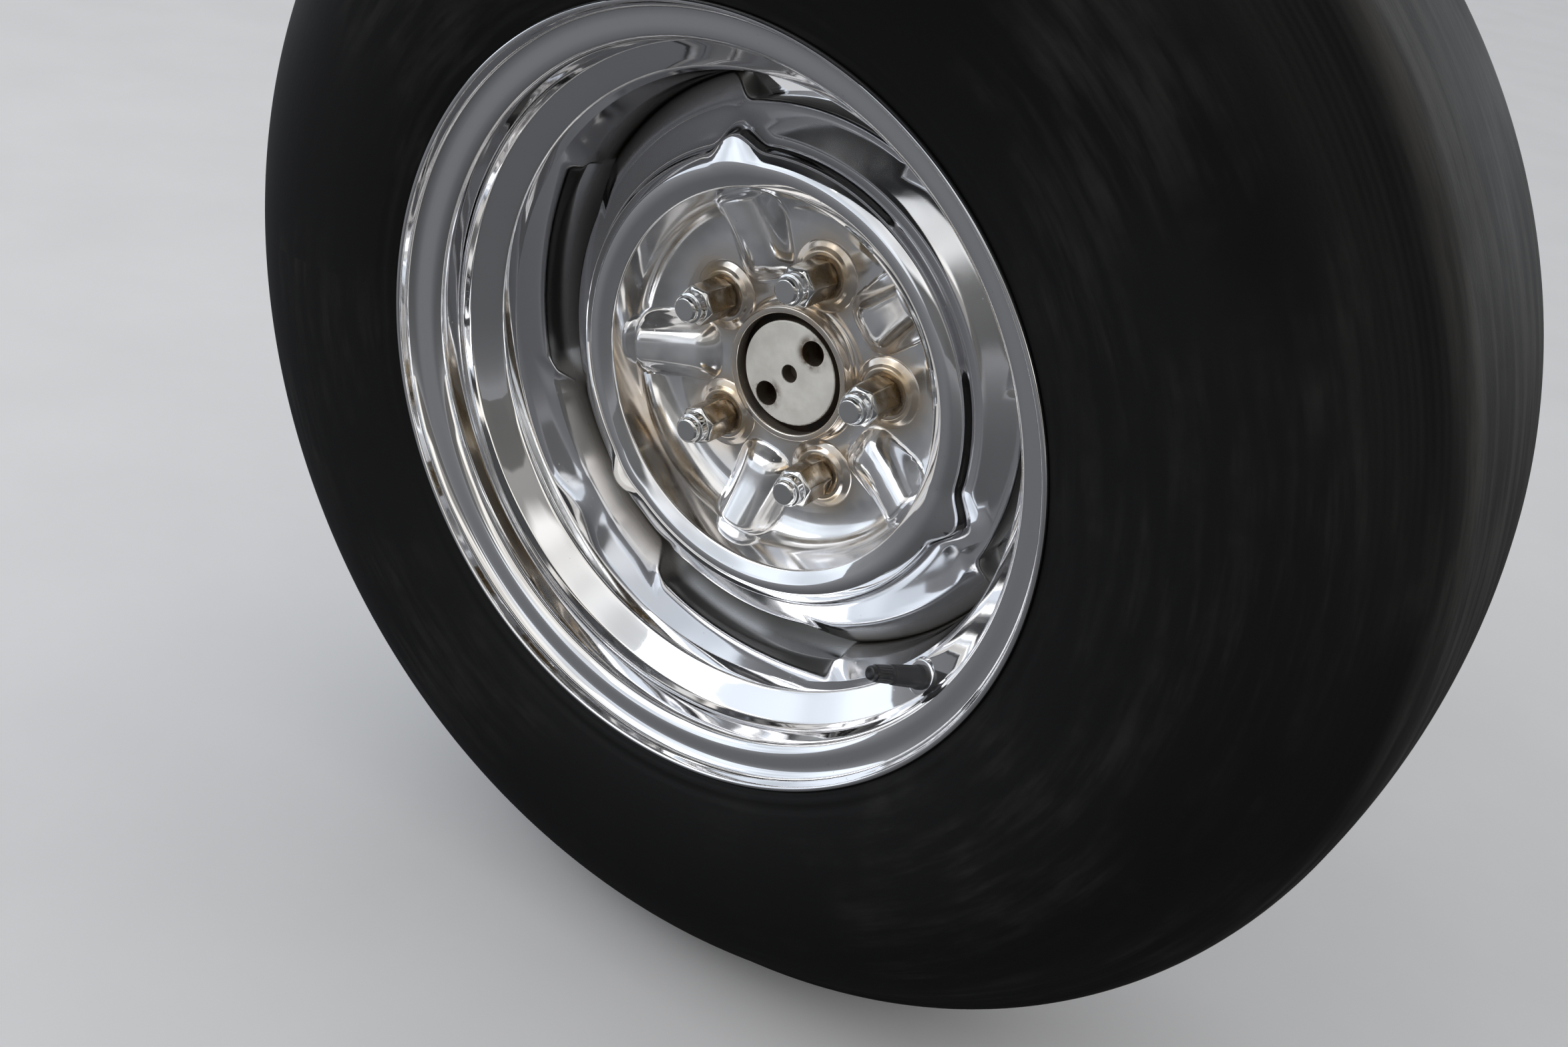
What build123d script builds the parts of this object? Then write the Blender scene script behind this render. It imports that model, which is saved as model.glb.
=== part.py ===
from build123d import *
import os
from math import cos, hypot, radians, sin, tan

# Rear wheel of a drag racing car with its axle shaft, brake drum and backing plate, in millimetres.
# The wheel turns about the Y axis, its outer side faces -Y and +Z is up.
# The origin is the centre of the backing plate's seat against the axle housing, on the axle's axis.

os.makedirs("parts", exist_ok=True)

# Rim: a 15 inch by 8 inch steel rim; each depth is measured inboard from the lip
bead_radius = 189.7
bead_width = 203.2
flange_width = 13.0
flange_curve = 8.0
lip_radius = 207.8
rim_sheet = 3.0
bead_seat_depth = 28.0
bead_seat_drop = 1.2
hump_depth = 32.5
hump_height = 1.5
slope_start_depth = 38.0
slope_end_depth = 49.0
well_depth = 57.0
well_radius = 168.5

# Pressed wheel centre; each drop is measured inboard from the crown's face
disc_sheet = 4.0
disc_backset = 111.0
bolt_circle = 120.65
lug_count = 5
lug_angle = 81.3
hub_bore_radius = 35.0
collar_height = 13.6
collar_flare = 7.0
crown_inner_radius = 107.4
crown_outer_radius = 126.2
crown_rise = 41.3
bowl_radius = 30.0
bowl_lean = 5.9
skirt_drop = 12.0
slope_radius = 150.0
slope_drop = 19.0
shoulder_drop = 38.5
disc_flange_length = 18.0
shoulder_rounding = 4.0
vent_count = 4
vent_angle = -91.7
vent_half_angle = 23.5
vent_corner = 7.0
rib_height = 9.0
rib_crest_share = 0.6
nub_count = 3
nub_angle = 107.0
nub_reach = 8.5
nub_half_width = 13.0
seat_boss_radius = 16.6
seat_boss_height = 3.5
seat_boss_wall = 2.6

# Lug nuts and studs
stud_radius = 6.35
stud_grip = 12.0
stud_end_length = 17.0
stud_head_radius = 9.5
stud_head_thickness = 4.5
nut_length = 41.0
nut_across_flats = 20.6
nut_cap_radius = 7.1
nut_cap_length = 8.5
nut_neck_length = 2.6
nut_seat_depth = 5.5
nut_seat_angle = 30.0
thread_clearance = 0.1

# Axle shaft
brake_space = 63.5
axle_flange_radius = 80.0
axle_flange_thickness = 12.7
register_radius = 30.4
register_length = 16.8
shaft_radius = 17.5
axle_length = 610.0
spline_length = 60.0
spline_count = 31
spline_depth = 1.2
spline_gap = 1.7
bearing_seat_radius = 19.85
balance_hole_radius = 7.3
balance_hole_place = 21.5
balance_hole_angle = 52.5
centre_hole_radius = 5.3
centre_hole_depth = 9.0

# Brake drum
drum_web = 6.0
drum_step = 7.5
drum_step_radius = 98.0
drum_bore_radius = 127.0
drum_wall = 7.3
drum_running_gap = 5.0

# Bearing and its retainer
bearing_radius = 40.0
bearing_width = 21.0
race_wall = 6.5
collar_radius = 25.5
collar_width = 13.0
retainer_thickness = 4.8
bolt_margin = 11.0
running_clearance = 0.05

# Backing plate
plate_thickness = 3.0
plate_overhang = 10.0
plate_step = 7.0
plate_lip = 10.0
bolt_spacing_x = 90.5
bolt_spacing_z = 50.8
bolt_hole_radius = 4.9
bore_clearance = 0.4

# Wheel cylinder
cylinder_place = 104.0
cylinder_radius = 15.0
cylinder_length = 58.0
cylinder_pad_width = 36.0
cylinder_pad_height = 26.0
cylinder_gap = 2.0
port_radius = 7.0
port_reach = 8.0
port_bore_radius = 4.76
port_bore_depth = 9.0
bleeder_radius = 4.6
bleeder_tip_radius = 2.8
bleeder_length = 16.0

# Tyre: a 29.5 inch drag slick; each drop is measured inwards from its own radius
tyre_radius = 374.0
tyre_wall = 8.0
tyre_tread_wall = 14.0
tyre_bulge = 12.0
bulge_drop = 97.0
upper_wall_drop = 64.0
upper_wall_inset = -5.0
tyre_shoulder_drop = 34.0
tyre_shoulder_inset = 17.0
tread_edge_drop = 5.5
tread_edge_inset = 44.5
tread_edge_rounding = 12.0

# Valve
valve_hole_radius = 5.75
valve_length = 36.5
valve_angle = -35.5
valve_lean = 8.0
valve_place = 0.52
valve_pad_radius = 10.0
valve_pad_height = 1.2
valve_base_radius = 6.7
valve_cap_length = 14.0
valve_cap_radius = 4.9

# Places along the axle, worked out from the sizes above
hub_face_y = -brake_space
disc_back_y = hub_face_y - drum_web
lip_y = disc_back_y - disc_backset
rim_width = bead_width + 2 * flange_width
tyre_centre_y = lip_y + rim_width / 2
disc_floor_y = disc_back_y - disc_sheet
crown_y = disc_back_y - crown_rise
collar_tip_y = disc_back_y - collar_height
slope_y = crown_y + slope_drop
shoulder_y = crown_y + shoulder_drop
disc_end_y = shoulder_y + disc_flange_length
stud_place = bolt_circle / 2


def turned(corners):
    """A solid of revolution about the Y axis from (radius, y, rounding) corners."""
    outline = make_face(Polyline(*[(r, y) for r, y, _ in corners], close=True))
    for rounding in sorted({c[2] for c in corners if c[2]}):
        spots = [(r, y) for r, y, c in corners if c == rounding]
        picked = [
            v for v in outline.vertices()
            if any(hypot(v.X - r, v.Y - y) < 1e-3 for r, y in spots)
        ]
        outline = fillet(picked, rounding)
    return revolve(outline, Axis.Y)


def offset_path(path, thickness):
    """The path moved to its left by a sheet's thickness, with matching corner roundings."""
    moved = []
    for i, (r, y, rounding) in enumerate(path):
        before = path[max(i - 1, 0)]
        after = path[min(i + 1, len(path) - 1)]
        way_in = unit(r - before[0], y - before[1]) if i else unit(after[0] - r, after[1] - y)
        way_out = unit(after[0] - r, after[1] - y) if i < len(path) - 1 else way_in
        left_in, left_out = (-way_in[1], way_in[0]), (-way_out[1], way_out[0])
        scale = thickness / (1 + left_in[0] * left_out[0] + left_in[1] * left_out[1])
        turn = way_in[0] * way_out[1] - way_in[1] * way_out[0]
        side = 1 if turn < 0 else -1
        rounding_moved = max(rounding + side * thickness, 0.4) if rounding else 0
        moved.append((r + scale * (left_in[0] + left_out[0]), y + scale * (left_in[1] + left_out[1]), rounding_moved))
    return moved


def unit(r, y):
    """A direction of length one in a section's plane."""
    length = hypot(r, y)
    return r / length, y / length


def around(radius, angle, y=0.0):
    """A point at a radius and angle about the axle, the angle from +X towards +Z."""
    return Vector(radius * cos(radians(angle)), y, radius * sin(radians(angle)))


def across_axle(y):
    """The plane square to the axle at one place; its second axis points down."""
    return Plane(origin=(0, y, 0), x_dir=(1, 0, 0), z_dir=(0, 1, 0))


def along_axle(centre, y_from, y_to, radius):
    """A round bar parallel to the axle through a centre point."""
    plane = Plane(origin=(centre.X, y_from, centre.Z), z_dir=(0, 1, 0))
    return extrude(plane * Circle(radius), y_to - y_from)


def cone_along_axle(centre, y_from, y_to, radius_from, radius_to):
    """A cone parallel to the axle through a centre point."""
    plane = Plane(origin=(centre.X, y_from, centre.Z), x_dir=(1, 0, 0), z_dir=(0, 1, 0))
    height = y_to - y_from
    return plane * Cone(radius_from, radius_to, height, align=(Align.CENTER, Align.CENTER, Align.MIN))


# Rim: lip, flange, bead seat, safety hump, slope and well, the same on both sides
seat_radius = bead_radius - rim_sheet
lip_face_radius = lip_radius - rim_sheet
flange_foot_depth = flange_width - 2.4
slope_start_radius = seat_radius - bead_seat_drop - 0.9
rim_face_path = [
    (lip_face_radius, lip_y, 0),
    (lip_face_radius - 1.8, lip_y + flange_foot_depth, flange_curve),
    (seat_radius, lip_y + flange_width, 0.8),
    (seat_radius - bead_seat_drop, lip_y + bead_seat_depth, 3.0),
    (seat_radius - bead_seat_drop + hump_height, lip_y + hump_depth, 3.4),
    (slope_start_radius, lip_y + slope_start_depth, 2.5),
    (well_radius + 2.0, lip_y + slope_end_depth, 4.0),
    (well_radius, lip_y + well_depth, 6.0),
]
rim_back_path = [(r, 2 * tyre_centre_y - y, c) for r, y, c in reversed(rim_face_path)]
rim_path = rim_face_path + rim_back_path
rim_tyre_path = offset_path(rim_path, -rim_sheet)
rim = turned(rim_path + list(reversed(rim_tyre_path)))

# Valve hole in a small flat pad on the rim's slope; the pad leans towards the lip
slope_from, slope_to = rim_face_path[5], rim_face_path[6]
slope_way = unit(slope_to[0] - slope_from[0], slope_to[1] - slope_from[1])
slope_out = (-slope_way[1], slope_way[0])
valve_out = (
    slope_out[0] * cos(radians(valve_lean)) - slope_out[1] * sin(radians(valve_lean)),
    slope_out[0] * sin(radians(valve_lean)) + slope_out[1] * cos(radians(valve_lean)),
)
valve_foot = [a + valve_place * (b - a) for a, b in zip(slope_from[:2], slope_to[:2])]
valve_origin = around(valve_foot[0], valve_angle, valve_foot[1])
valve_direction = around(valve_out[0], valve_angle, valve_out[1])
valve_plane = Plane(origin=valve_origin, z_dir=valve_direction)
pad_bottom = -1.5 * rim_sheet
pad_top = valve_pad_height
rim += valve_plane * Pos(0, 0, pad_bottom) * Cylinder(
    valve_pad_radius, pad_top - pad_bottom, align=(Align.CENTER, Align.CENTER, Align.MIN))
rim -= valve_plane * Cylinder(valve_hole_radius, 8 * rim_sheet)

# Wheel centre: the front form less the back form leaves a sheet of even thickness
crown_width = crown_outer_radius - crown_inner_radius
crown_middle = (crown_inner_radius + crown_outer_radius) / 2
crown_edge_rounding = min(2.6, 0.14 * crown_width)
shoulder_slope = (shoulder_drop - slope_drop) / (well_radius - slope_radius)
beyond = 8.0
disc_path = [
    (hub_bore_radius + disc_sheet, collar_tip_y, 0),
    (hub_bore_radius + disc_sheet, disc_floor_y, collar_flare),
    (crown_inner_radius - bowl_lean, disc_floor_y, bowl_radius),
    (crown_inner_radius, crown_y, crown_edge_rounding),
    (crown_middle, crown_y - 0.06 * crown_width, 1.17 * crown_width),
    (crown_outer_radius, crown_y + 0.08 * crown_width, crown_edge_rounding),
    (crown_outer_radius + 2.6, crown_y + skirt_drop, 5.0),
    (slope_radius, slope_y, 24.0),
    (well_radius + beyond, shoulder_y + beyond * shoulder_slope, 0),
]


def disc_outline(inset):
    """The wheel centre's plan: a round edge on four feet, cut back at each vent, less a margin."""
    half = radians(vent_half_angle)
    apex, reach = -inset / sin(half), 2 * well_radius
    side = (reach - apex) * tan(half)
    wedge = make_face(Polyline((apex, 0), (reach, side), (reach, -side), close=True))
    notch_radius = slope_radius - inset
    notch = wedge - Circle(notch_radius)
    plan = Sketch() + Circle(well_radius - inset)
    for k in range(vent_count):
        plan -= notch.rotate(Axis.Z, -(vent_angle + k * 360 / vent_count))
    feet = [v for v in plan.vertices() if hypot(v.X, v.Y) > notch_radius + 1.0]
    plan = fillet(feet, vent_corner - inset)
    notch_ends = [v for v in plan.vertices() if abs(hypot(v.X, v.Y) - notch_radius) < 0.01]
    return fillet(notch_ends, vent_corner + inset)


def nub_outline(inset):
    """The plan of one bell-shaped nub that stands out from the crown's edge, in the X-Z plane."""
    reach = crown_outer_radius + nub_reach - inset
    foot = crown_outer_radius - 6.0
    half = nub_half_width - inset
    shoulder = crown_outer_radius + 2.0 - inset
    points = [(foot, -2.1 * half), (shoulder - 1.5, -1.8 * half), (reach - 2.5, -0.55 * half), (reach, 0.0)]
    points += [(r, -z) for r, z in reversed(points[:-1])]
    return make_face(Spline(*points) + Line(points[-1], points[0]))


def rib_section(radius, height, half_width, drop):
    """A rib's cross-section at one radius: a broad crest with curved flanks, over a straight foot."""
    plane = Plane(origin=(radius, 0, 0), x_dir=(0, 0, 1), z_dir=(1, 0, 0))
    # On this plane the second axis points to -Y, so heights are positive
    floor = -disc_floor_y - drop - 0.4
    base = floor - 12.0
    crest, top = rib_crest_share * half_width, floor + 0.4 + height
    brow = floor + 0.84 * (top - floor)
    bell = Spline(
        (-half_width, floor), (-crest, brow), (0, top), (crest, brow), (half_width, floor),
        tangents=[(1, 0.15), (1, -0.15)])
    foot = Polyline((half_width, floor), (half_width, base), (-half_width, base), (-half_width, floor))
    return plane * make_face(bell + foot)


def rib(drop, inset):
    """One broad raised rib of the bowl, lowered and narrowed by the given amounts."""
    rim_side, hub_side = crown_inner_radius, hub_bore_radius + disc_sheet
    # Share of the way from the collar to the crown, share of the height, half width
    stations = [(0.16, -0.2, 12.0), (0.32, 0.85, 15.0), (0.55, 1.2, 18.0), (0.77, 1.85, 22.0), (0.98, 2.7, 27.0)]
    sections = [
        rib_section(hub_side + share * (rim_side - hub_side), rib_height * tall, half_width - inset, drop)
        for share, tall, half_width in stations
    ]
    return loft(sections)


def form(path, drop, end_y, rounding):
    """All that lies inboard of one face of the sheet, with its ribs, nubs, feet and vents."""
    body = turned([(0, path[0][1], 0)] + path + [(path[-1][0], end_y, 0), (0, end_y, 0)])
    one_rib = rib(drop, 0.45 * drop)
    for k in range(lug_count):
        body += one_rib.rotate(Axis.Y, -(lug_angle + (k + 0.5) * 360 / lug_count))
    nub = extrude(across_axle(crown_y + 0.8 + drop) * nub_outline(drop), skirt_drop + 5.0)
    if rounding:
        tip = nub.faces().sort_by(Axis.Y)[0]
        nub = fillet(tip.edges().sort_by(lambda e: -e.length)[0], crown_edge_rounding)
    for k in range(nub_count):
        body += nub.rotate(Axis.Y, -(nub_angle + k * 360 / nub_count))
    prism_y = crown_y - 20.0
    prism = extrude(across_axle(prism_y) * disc_outline(drop), end_y + 1.0 - prism_y)
    body = body & prism
    if rounding:
        rim_edges = [
            e for e in body.edges()
            if hypot(e.center().X, e.center().Z) > slope_radius - 2.0
            and e.center().Y < end_y - 0.5 * disc_flange_length
            and abs((e @ 1).Y - (e @ 0).Y) < 0.9 * e.length
        ]
        body = fillet(rim_edges, rounding)
    return body


front_form = form(disc_path, 0.0, disc_end_y, shoulder_rounding)
back_path = offset_path(disc_path, disc_sheet)
back_path[0] = (back_path[0][0], back_path[0][1] - beyond, 0)
back_form = form(back_path, disc_sheet, disc_end_y + beyond, 0)
wheel_disc = front_form - back_form

# Raised conical seats for the lug nuts
lug_spots = [around(stud_place, lug_angle + k * 360 / lug_count) for k in range(lug_count)]
seat_slope = tan(radians(nut_seat_angle))
seat_mouth_y = disc_floor_y - seat_boss_height
seat_end_y = seat_mouth_y + nut_seat_depth
seat_mouth_radius = nut_across_flats / 2 + 0.6
seat_end_radius = seat_mouth_radius - nut_seat_depth * seat_slope
seat_boss = turned([
    (0, seat_mouth_y, 0),
    (seat_mouth_radius + seat_boss_wall, seat_mouth_y, 2.0),
    (seat_boss_radius, disc_floor_y, 5.0),
    (seat_boss_radius + 3.0, disc_floor_y + 0.3, 0),
    (0, disc_floor_y + 0.3, 0),
])
for spot in lug_spots:
    wheel_disc += Pos(spot.X, 0, spot.Z) * seat_boss
for spot in lug_spots:
    wheel_disc -= cone_along_axle(spot, seat_mouth_y, seat_end_y, seat_mouth_radius, seat_end_radius)
    wheel_disc -= along_axle(spot, seat_mouth_y, disc_back_y + 1.0, seat_end_radius)

# Tyre: a hollow carcass of arcs, the same on both sides of its middle plane
heel, seat_end = rim_tyre_path[2], rim_tyre_path[3]
toe_share = 0.85
toe = (heel[0] + toe_share * (seat_end[0] - heel[0]), heel[1] + toe_share * (seat_end[1] - heel[1]))
flange_top = rim_tyre_path[1]
outer_face = [
    (tyre_radius - bulge_drop, lip_y - tyre_bulge),
    (tyre_radius - upper_wall_drop, lip_y + upper_wall_inset),
    (tyre_radius - tyre_shoulder_drop, lip_y + tyre_shoulder_inset),
    (tyre_radius - tread_edge_drop, lip_y + tread_edge_inset),
]
lip_touch = (lip_radius + 0.4, lip_y + 2.0)
bead_clearance = 0.3


def tyre_half():
    """The outboard half of the tyre's section, from its bead to its middle plane."""
    bulge, upper, shoulder, edge = outer_face
    low_wall = (0.52 * lip_touch[0] + 0.48 * bulge[0], lip_y - 0.68 * tyre_bulge)
    crown = (tyre_radius - 0.27 * tread_edge_drop, (edge[1] + tyre_centre_y) / 2)
    upper_arc = TangentArc(bulge, upper, tangent=(1, 0))
    shoulder_arc = TangentArc(upper, shoulder, tangent=upper_arc % 1)
    edge_arc = TangentArc(shoulder, edge, tangent=shoulder_arc % 1)
    seat_top = (flange_top[0] + bead_clearance, flange_top[1] + bead_clearance)
    inner_bulge = (bulge[0] - 2.0, bulge[1] + tyre_wall)
    inner_low = (toe[0] + 26.0, lip_y + flange_width)
    inner_high = (shoulder[0] - tyre_wall, shoulder[1] + 1.1 * tyre_wall)
    inner_edge = (tyre_radius - tyre_tread_wall - 9.0, edge[1] + 12.0)
    inner_top = (tyre_radius - tyre_tread_wall, tyre_centre_y)
    inner_crown = (inner_top[0] - 2.2, (inner_edge[1] + inner_top[1]) / 2)
    section = make_face([
        Line(toe, heel[:2]),
        Line(heel[:2], seat_top),
        Line(seat_top, lip_touch),
        ThreePointArc(lip_touch, low_wall, bulge),
        upper_arc,
        shoulder_arc,
        edge_arc,
        ThreePointArc(edge, crown, (tyre_radius, tyre_centre_y)),
        Line((tyre_radius, tyre_centre_y), inner_top),
        ThreePointArc(inner_top, inner_crown, inner_edge),
        ThreePointArc(inner_edge, (inner_edge[0] - 6.0, inner_edge[1] - 9.0), inner_high),
        ThreePointArc(inner_high, ((inner_high[0] + inner_bulge[0]) / 2, inner_bulge[1] + 6.0), inner_bulge),
        Line(inner_bulge, inner_low),
        Line(inner_low, toe),
    ])
    edge_corner = [v for v in section.vertices() if hypot(v.X - edge[0], v.Y - edge[1]) < 1e-3]
    section = fillet(edge_corner, tread_edge_rounding)
    heel_corner = [v for v in section.vertices() if hypot(v.X - heel[0], v.Y - heel[1]) < 1e-3]
    return fillet(heel_corner, heel[2] + 2 * bead_clearance)


tyre_section = tyre_half()
tyre_other_half = mirror(tyre_section, Plane(origin=(0, tyre_centre_y, 0), z_dir=(0, 1, 0)))
tyre = revolve(tyre_section + tyre_other_half, Axis.Y)

# Axle shaft: register, flange, bearing seat, plain shaft and splined end
flange_back_y = hub_face_y + axle_flange_thickness
bearing_end_y = bearing_width
lock_end_y = bearing_end_y + collar_width
register_y = hub_face_y - register_length
shaft_end_y = hub_face_y + axle_length
spline_start_y = shaft_end_y - spline_length
bearing_shoulder = bearing_seat_radius + 3.5
axle_shaft = turned([
    (0, register_y, 0),
    (register_radius, register_y, 0.8),
    (register_radius, hub_face_y, 0),
    (axle_flange_radius, hub_face_y, 1.0),
    (axle_flange_radius, flange_back_y, 1.0),
    (bearing_shoulder + 12.5, flange_back_y, 8.0),
    (bearing_shoulder, flange_back_y + 22.0, 8.0),
    (bearing_shoulder, 0, 0),
    (bearing_seat_radius, 0, 0),
    (bearing_seat_radius, lock_end_y + 3.0, 0),
    (shaft_radius, lock_end_y + 20.0, 8.0),
    (shaft_radius, shaft_end_y, 1.5),
    (0, shaft_end_y, 0),
])
for k in range(spline_count):
    groove = Box(2 * spline_depth, spline_length, spline_gap)
    groove = Pos(shaft_radius, (spline_start_y + shaft_end_y) / 2, 0) * groove
    axle_shaft -= groove.rotate(Axis.Y, k * 360 / spline_count)
for half_turn in (0, 180):
    spot = around(balance_hole_place, balance_hole_angle + half_turn)
    axle_shaft -= along_axle(spot, register_y, hub_face_y, balance_hole_radius)
axle_shaft -= along_axle(Vector(0, 0, 0), register_y, register_y + centre_hole_depth, centre_hole_radius)
for spot in lug_spots:
    axle_shaft -= along_axle(spot, hub_face_y, flange_back_y, stud_radius)

# Brake drum
drum_radius = drum_bore_radius + drum_wall
drum_end_y = -(plate_step + plate_thickness + drum_running_gap)
drum_step_y = disc_back_y + drum_step
register_bore = register_radius + thread_clearance
brake_drum = turned([
    (register_bore, disc_back_y, 0),
    (drum_step_radius, disc_back_y, 4.0),
    (drum_step_radius + drum_web, drum_step_y, 4.0),
    (drum_radius, drum_step_y, 6.0),
    (drum_radius, drum_end_y, 1.0),
    (drum_bore_radius, drum_end_y, 0),
    (drum_bore_radius, drum_step_y + drum_web, 4.0),
    (drum_step_radius, drum_step_y + drum_web, 4.0),
    (drum_step_radius - drum_web, hub_face_y, 4.0),
    (register_bore, hub_face_y, 0),
])
for spot in lug_spots:
    brake_drum -= along_axle(spot, disc_back_y, hub_face_y, stud_radius + bore_clearance)

# Bearing, its lock ring and its retainer
race_radius = bearing_radius - race_wall
inner_race_radius = race_radius - race_wall
bearing_outer = turned([
    (inner_race_radius + running_clearance, 0, 0),
    (bearing_radius, 0, 0),
    (bearing_radius, bearing_end_y, 1.2),
    (inner_race_radius + running_clearance, bearing_end_y, 0),
])
bearing_inner = turned([
    (bearing_seat_radius, 0, 0),
    (inner_race_radius, 0, 0),
    (inner_race_radius, bearing_end_y, 0),
    (bearing_seat_radius, bearing_end_y, 0),
])
lock_ring = turned([
    (bearing_seat_radius, bearing_end_y, 0),
    (collar_radius, bearing_end_y, 0),
    (collar_radius, lock_end_y, 1.0),
    (bearing_seat_radius, lock_end_y, 0),
])
bolt_spots = [Vector(x * bolt_spacing_x / 2, 0, z * bolt_spacing_z / 2) for x in (-1, 1) for z in (-1, 1)]
retainer_y = -plate_thickness - retainer_thickness
retainer_plan = RectangleRounded(
    bolt_spacing_x + 2 * bolt_margin, bolt_spacing_z + 2 * bolt_margin, bolt_margin)
retainer_plan = retainer_plan + Circle(bearing_radius + retainer_thickness)
retainer_plate = extrude(across_axle(retainer_y) * retainer_plan, retainer_thickness)
retainer_plate -= along_axle(Vector(0, 0, 0), retainer_y, -plate_thickness, race_radius)
for spot in bolt_spots:
    retainer_plate -= along_axle(spot, retainer_y, -plate_thickness, bolt_hole_radius)

# Backing plate: a flat seat, a step outboard and a lip round the drum's open edge
plate_inside_y = -plate_thickness - plate_step
plate_lip_radius = drum_radius + plate_overhang - plate_thickness
seat_edge_radius = hypot(bolt_spacing_x, bolt_spacing_z) / 2 + 1.5 * bolt_margin
plate_path = [
    (race_radius, -plate_thickness, 0),
    (seat_edge_radius, -plate_thickness, 5.0),
    (seat_edge_radius + 9.0, plate_inside_y, 3.0),
    (plate_lip_radius, plate_inside_y, 3.0),
    (plate_lip_radius, plate_inside_y - plate_lip, 0),
]
plate_back_path = offset_path(plate_path, plate_thickness)
backing_plate = turned(plate_path + list(reversed(plate_back_path)))
for spot in bolt_spots:
    backing_plate -= along_axle(spot, -plate_thickness, 0, bolt_hole_radius)

# Wheel cylinder behind the plate's top, with its bleeder and line port through the plate
cylinder_y = plate_inside_y - cylinder_radius - cylinder_gap
wheel_cylinder = Pos(0, cylinder_y, cylinder_place) * Rot(0, 90, 0) * Cylinder(cylinder_radius, cylinder_length)
cylinder_pad = Box(cylinder_pad_width, cylinder_radius + cylinder_gap, cylinder_pad_height,
                   align=(Align.CENTER, Align.MIN, Align.CENTER))
wheel_cylinder += Pos(0, cylinder_y, cylinder_place) * cylinder_pad
port_spot = Vector(-9.0, 0, cylinder_place)
bleeder_spot = Vector(10.0, 0, cylinder_place + 5.0)
port_end_y = plate_inside_y + plate_thickness + port_reach
for spot in (port_spot, bleeder_spot):
    backing_plate -= along_axle(spot, plate_inside_y - 1.0, plate_inside_y + plate_thickness + 1.0,
                                port_radius + bore_clearance)
    wheel_cylinder += along_axle(spot, plate_inside_y - 4.0, port_end_y, port_radius)
wheel_cylinder -= along_axle(port_spot, port_end_y - port_bore_depth, port_end_y, port_bore_radius)
bleeder_screw = along_axle(bleeder_spot, port_end_y, port_end_y + bleeder_length - 10.0, bleeder_radius)
bleeder_screw += along_axle(bleeder_spot, port_end_y + bleeder_length - 10.0, port_end_y + bleeder_length,
                            bleeder_tip_radius)

# Valve stem and its cap, in their own frame on the rim's slope
stem_end = valve_length - valve_cap_length
grommet_radius = valve_hole_radius + 2.6
stem_outline = [
    (0, pad_bottom - 5.0),
    (grommet_radius, pad_bottom - 5.0),
    (grommet_radius, pad_bottom),
    (valve_hole_radius, pad_bottom),
    (valve_hole_radius, pad_top),
    (valve_base_radius, pad_top),
    (valve_base_radius, pad_top + 2.0),
    (valve_base_radius - 0.8, pad_top + 8.0),
    (valve_cap_radius + 0.4, stem_end),
    (0, stem_end),
]
stem_face = make_face(Polyline(*[(r, 0, z) for r, z in stem_outline], close=True))
valve_stem = valve_plane * revolve(stem_face, Axis.Z)
valve_cap = valve_plane * Pos(0, 0, stem_end) * Cylinder(
    valve_cap_radius, valve_cap_length, align=(Align.CENTER, Align.CENTER, Align.MIN))

# Lug nuts and studs
nut_cap_y = seat_end_y - nut_length
hex_start_y = nut_cap_y + nut_cap_length
corner_radius = nut_across_flats / 2 / cos(radians(30))
stud_tip_y = disc_back_y - stud_grip - stud_end_length


def lug_nut(spot):
    """A closed nut: a conical seat, a hexagon, a short neck and a round cap."""
    blank = revolve(make_face(Polyline(
        (0, nut_cap_y), (nut_cap_radius - 1.0, nut_cap_y), (nut_cap_radius, nut_cap_y + 1.0),
        (nut_cap_radius, hex_start_y), (corner_radius, hex_start_y + nut_neck_length),
        (corner_radius, seat_mouth_y - 1.2), (seat_mouth_radius, seat_mouth_y), (seat_end_radius, seat_end_y),
        (0, seat_end_y), close=True)), Axis.Y)
    flats = extrude(across_axle(nut_cap_y - 1.0) * RegularPolygon(
        nut_across_flats / 2, 6, major_radius=False), nut_length + 2.0)
    nut = blank & flats
    nut -= along_axle(Vector(0, 0, 0), stud_tip_y - 1.5, seat_end_y, stud_radius + thread_clearance)
    return Pos(spot.X, 0, spot.Z) * nut


def wheel_stud(spot):
    """A pressed-in stud with a flat head behind the axle's flange."""
    stud = along_axle(spot, stud_tip_y, flange_back_y, stud_radius)
    return stud + along_axle(spot, flange_back_y, flange_back_y + stud_head_thickness, stud_head_radius)


nodes = {
    "tyre": tyre,
    "rim": rim,
    "wheel_disc": wheel_disc,
    "valve_stem": valve_stem,
    "valve_cap": valve_cap,
    "brake_drum": brake_drum,
    "axle_shaft": axle_shaft,
    "bearing_inner_race": bearing_inner,
    "bearing_outer_race": bearing_outer,
    "lock_ring": lock_ring,
    "retainer_plate": retainer_plate,
    "backing_plate": backing_plate,
    "wheel_cylinder": wheel_cylinder,
    "bleeder_screw": bleeder_screw,
}
for k, spot in enumerate(lug_spots, 1):
    nodes[f"lug_nut_{k}"] = lug_nut(spot)
    nodes[f"wheel_stud_{k}"] = wheel_stud(spot)
for name, solid in nodes.items():
    export_step(solid, f"parts/{name}.step")
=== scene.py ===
from math import atan2, cos, exp, hypot, pi, radians, sin, tan

import bmesh
import bpy
from mathutils import Matrix, Vector


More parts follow.
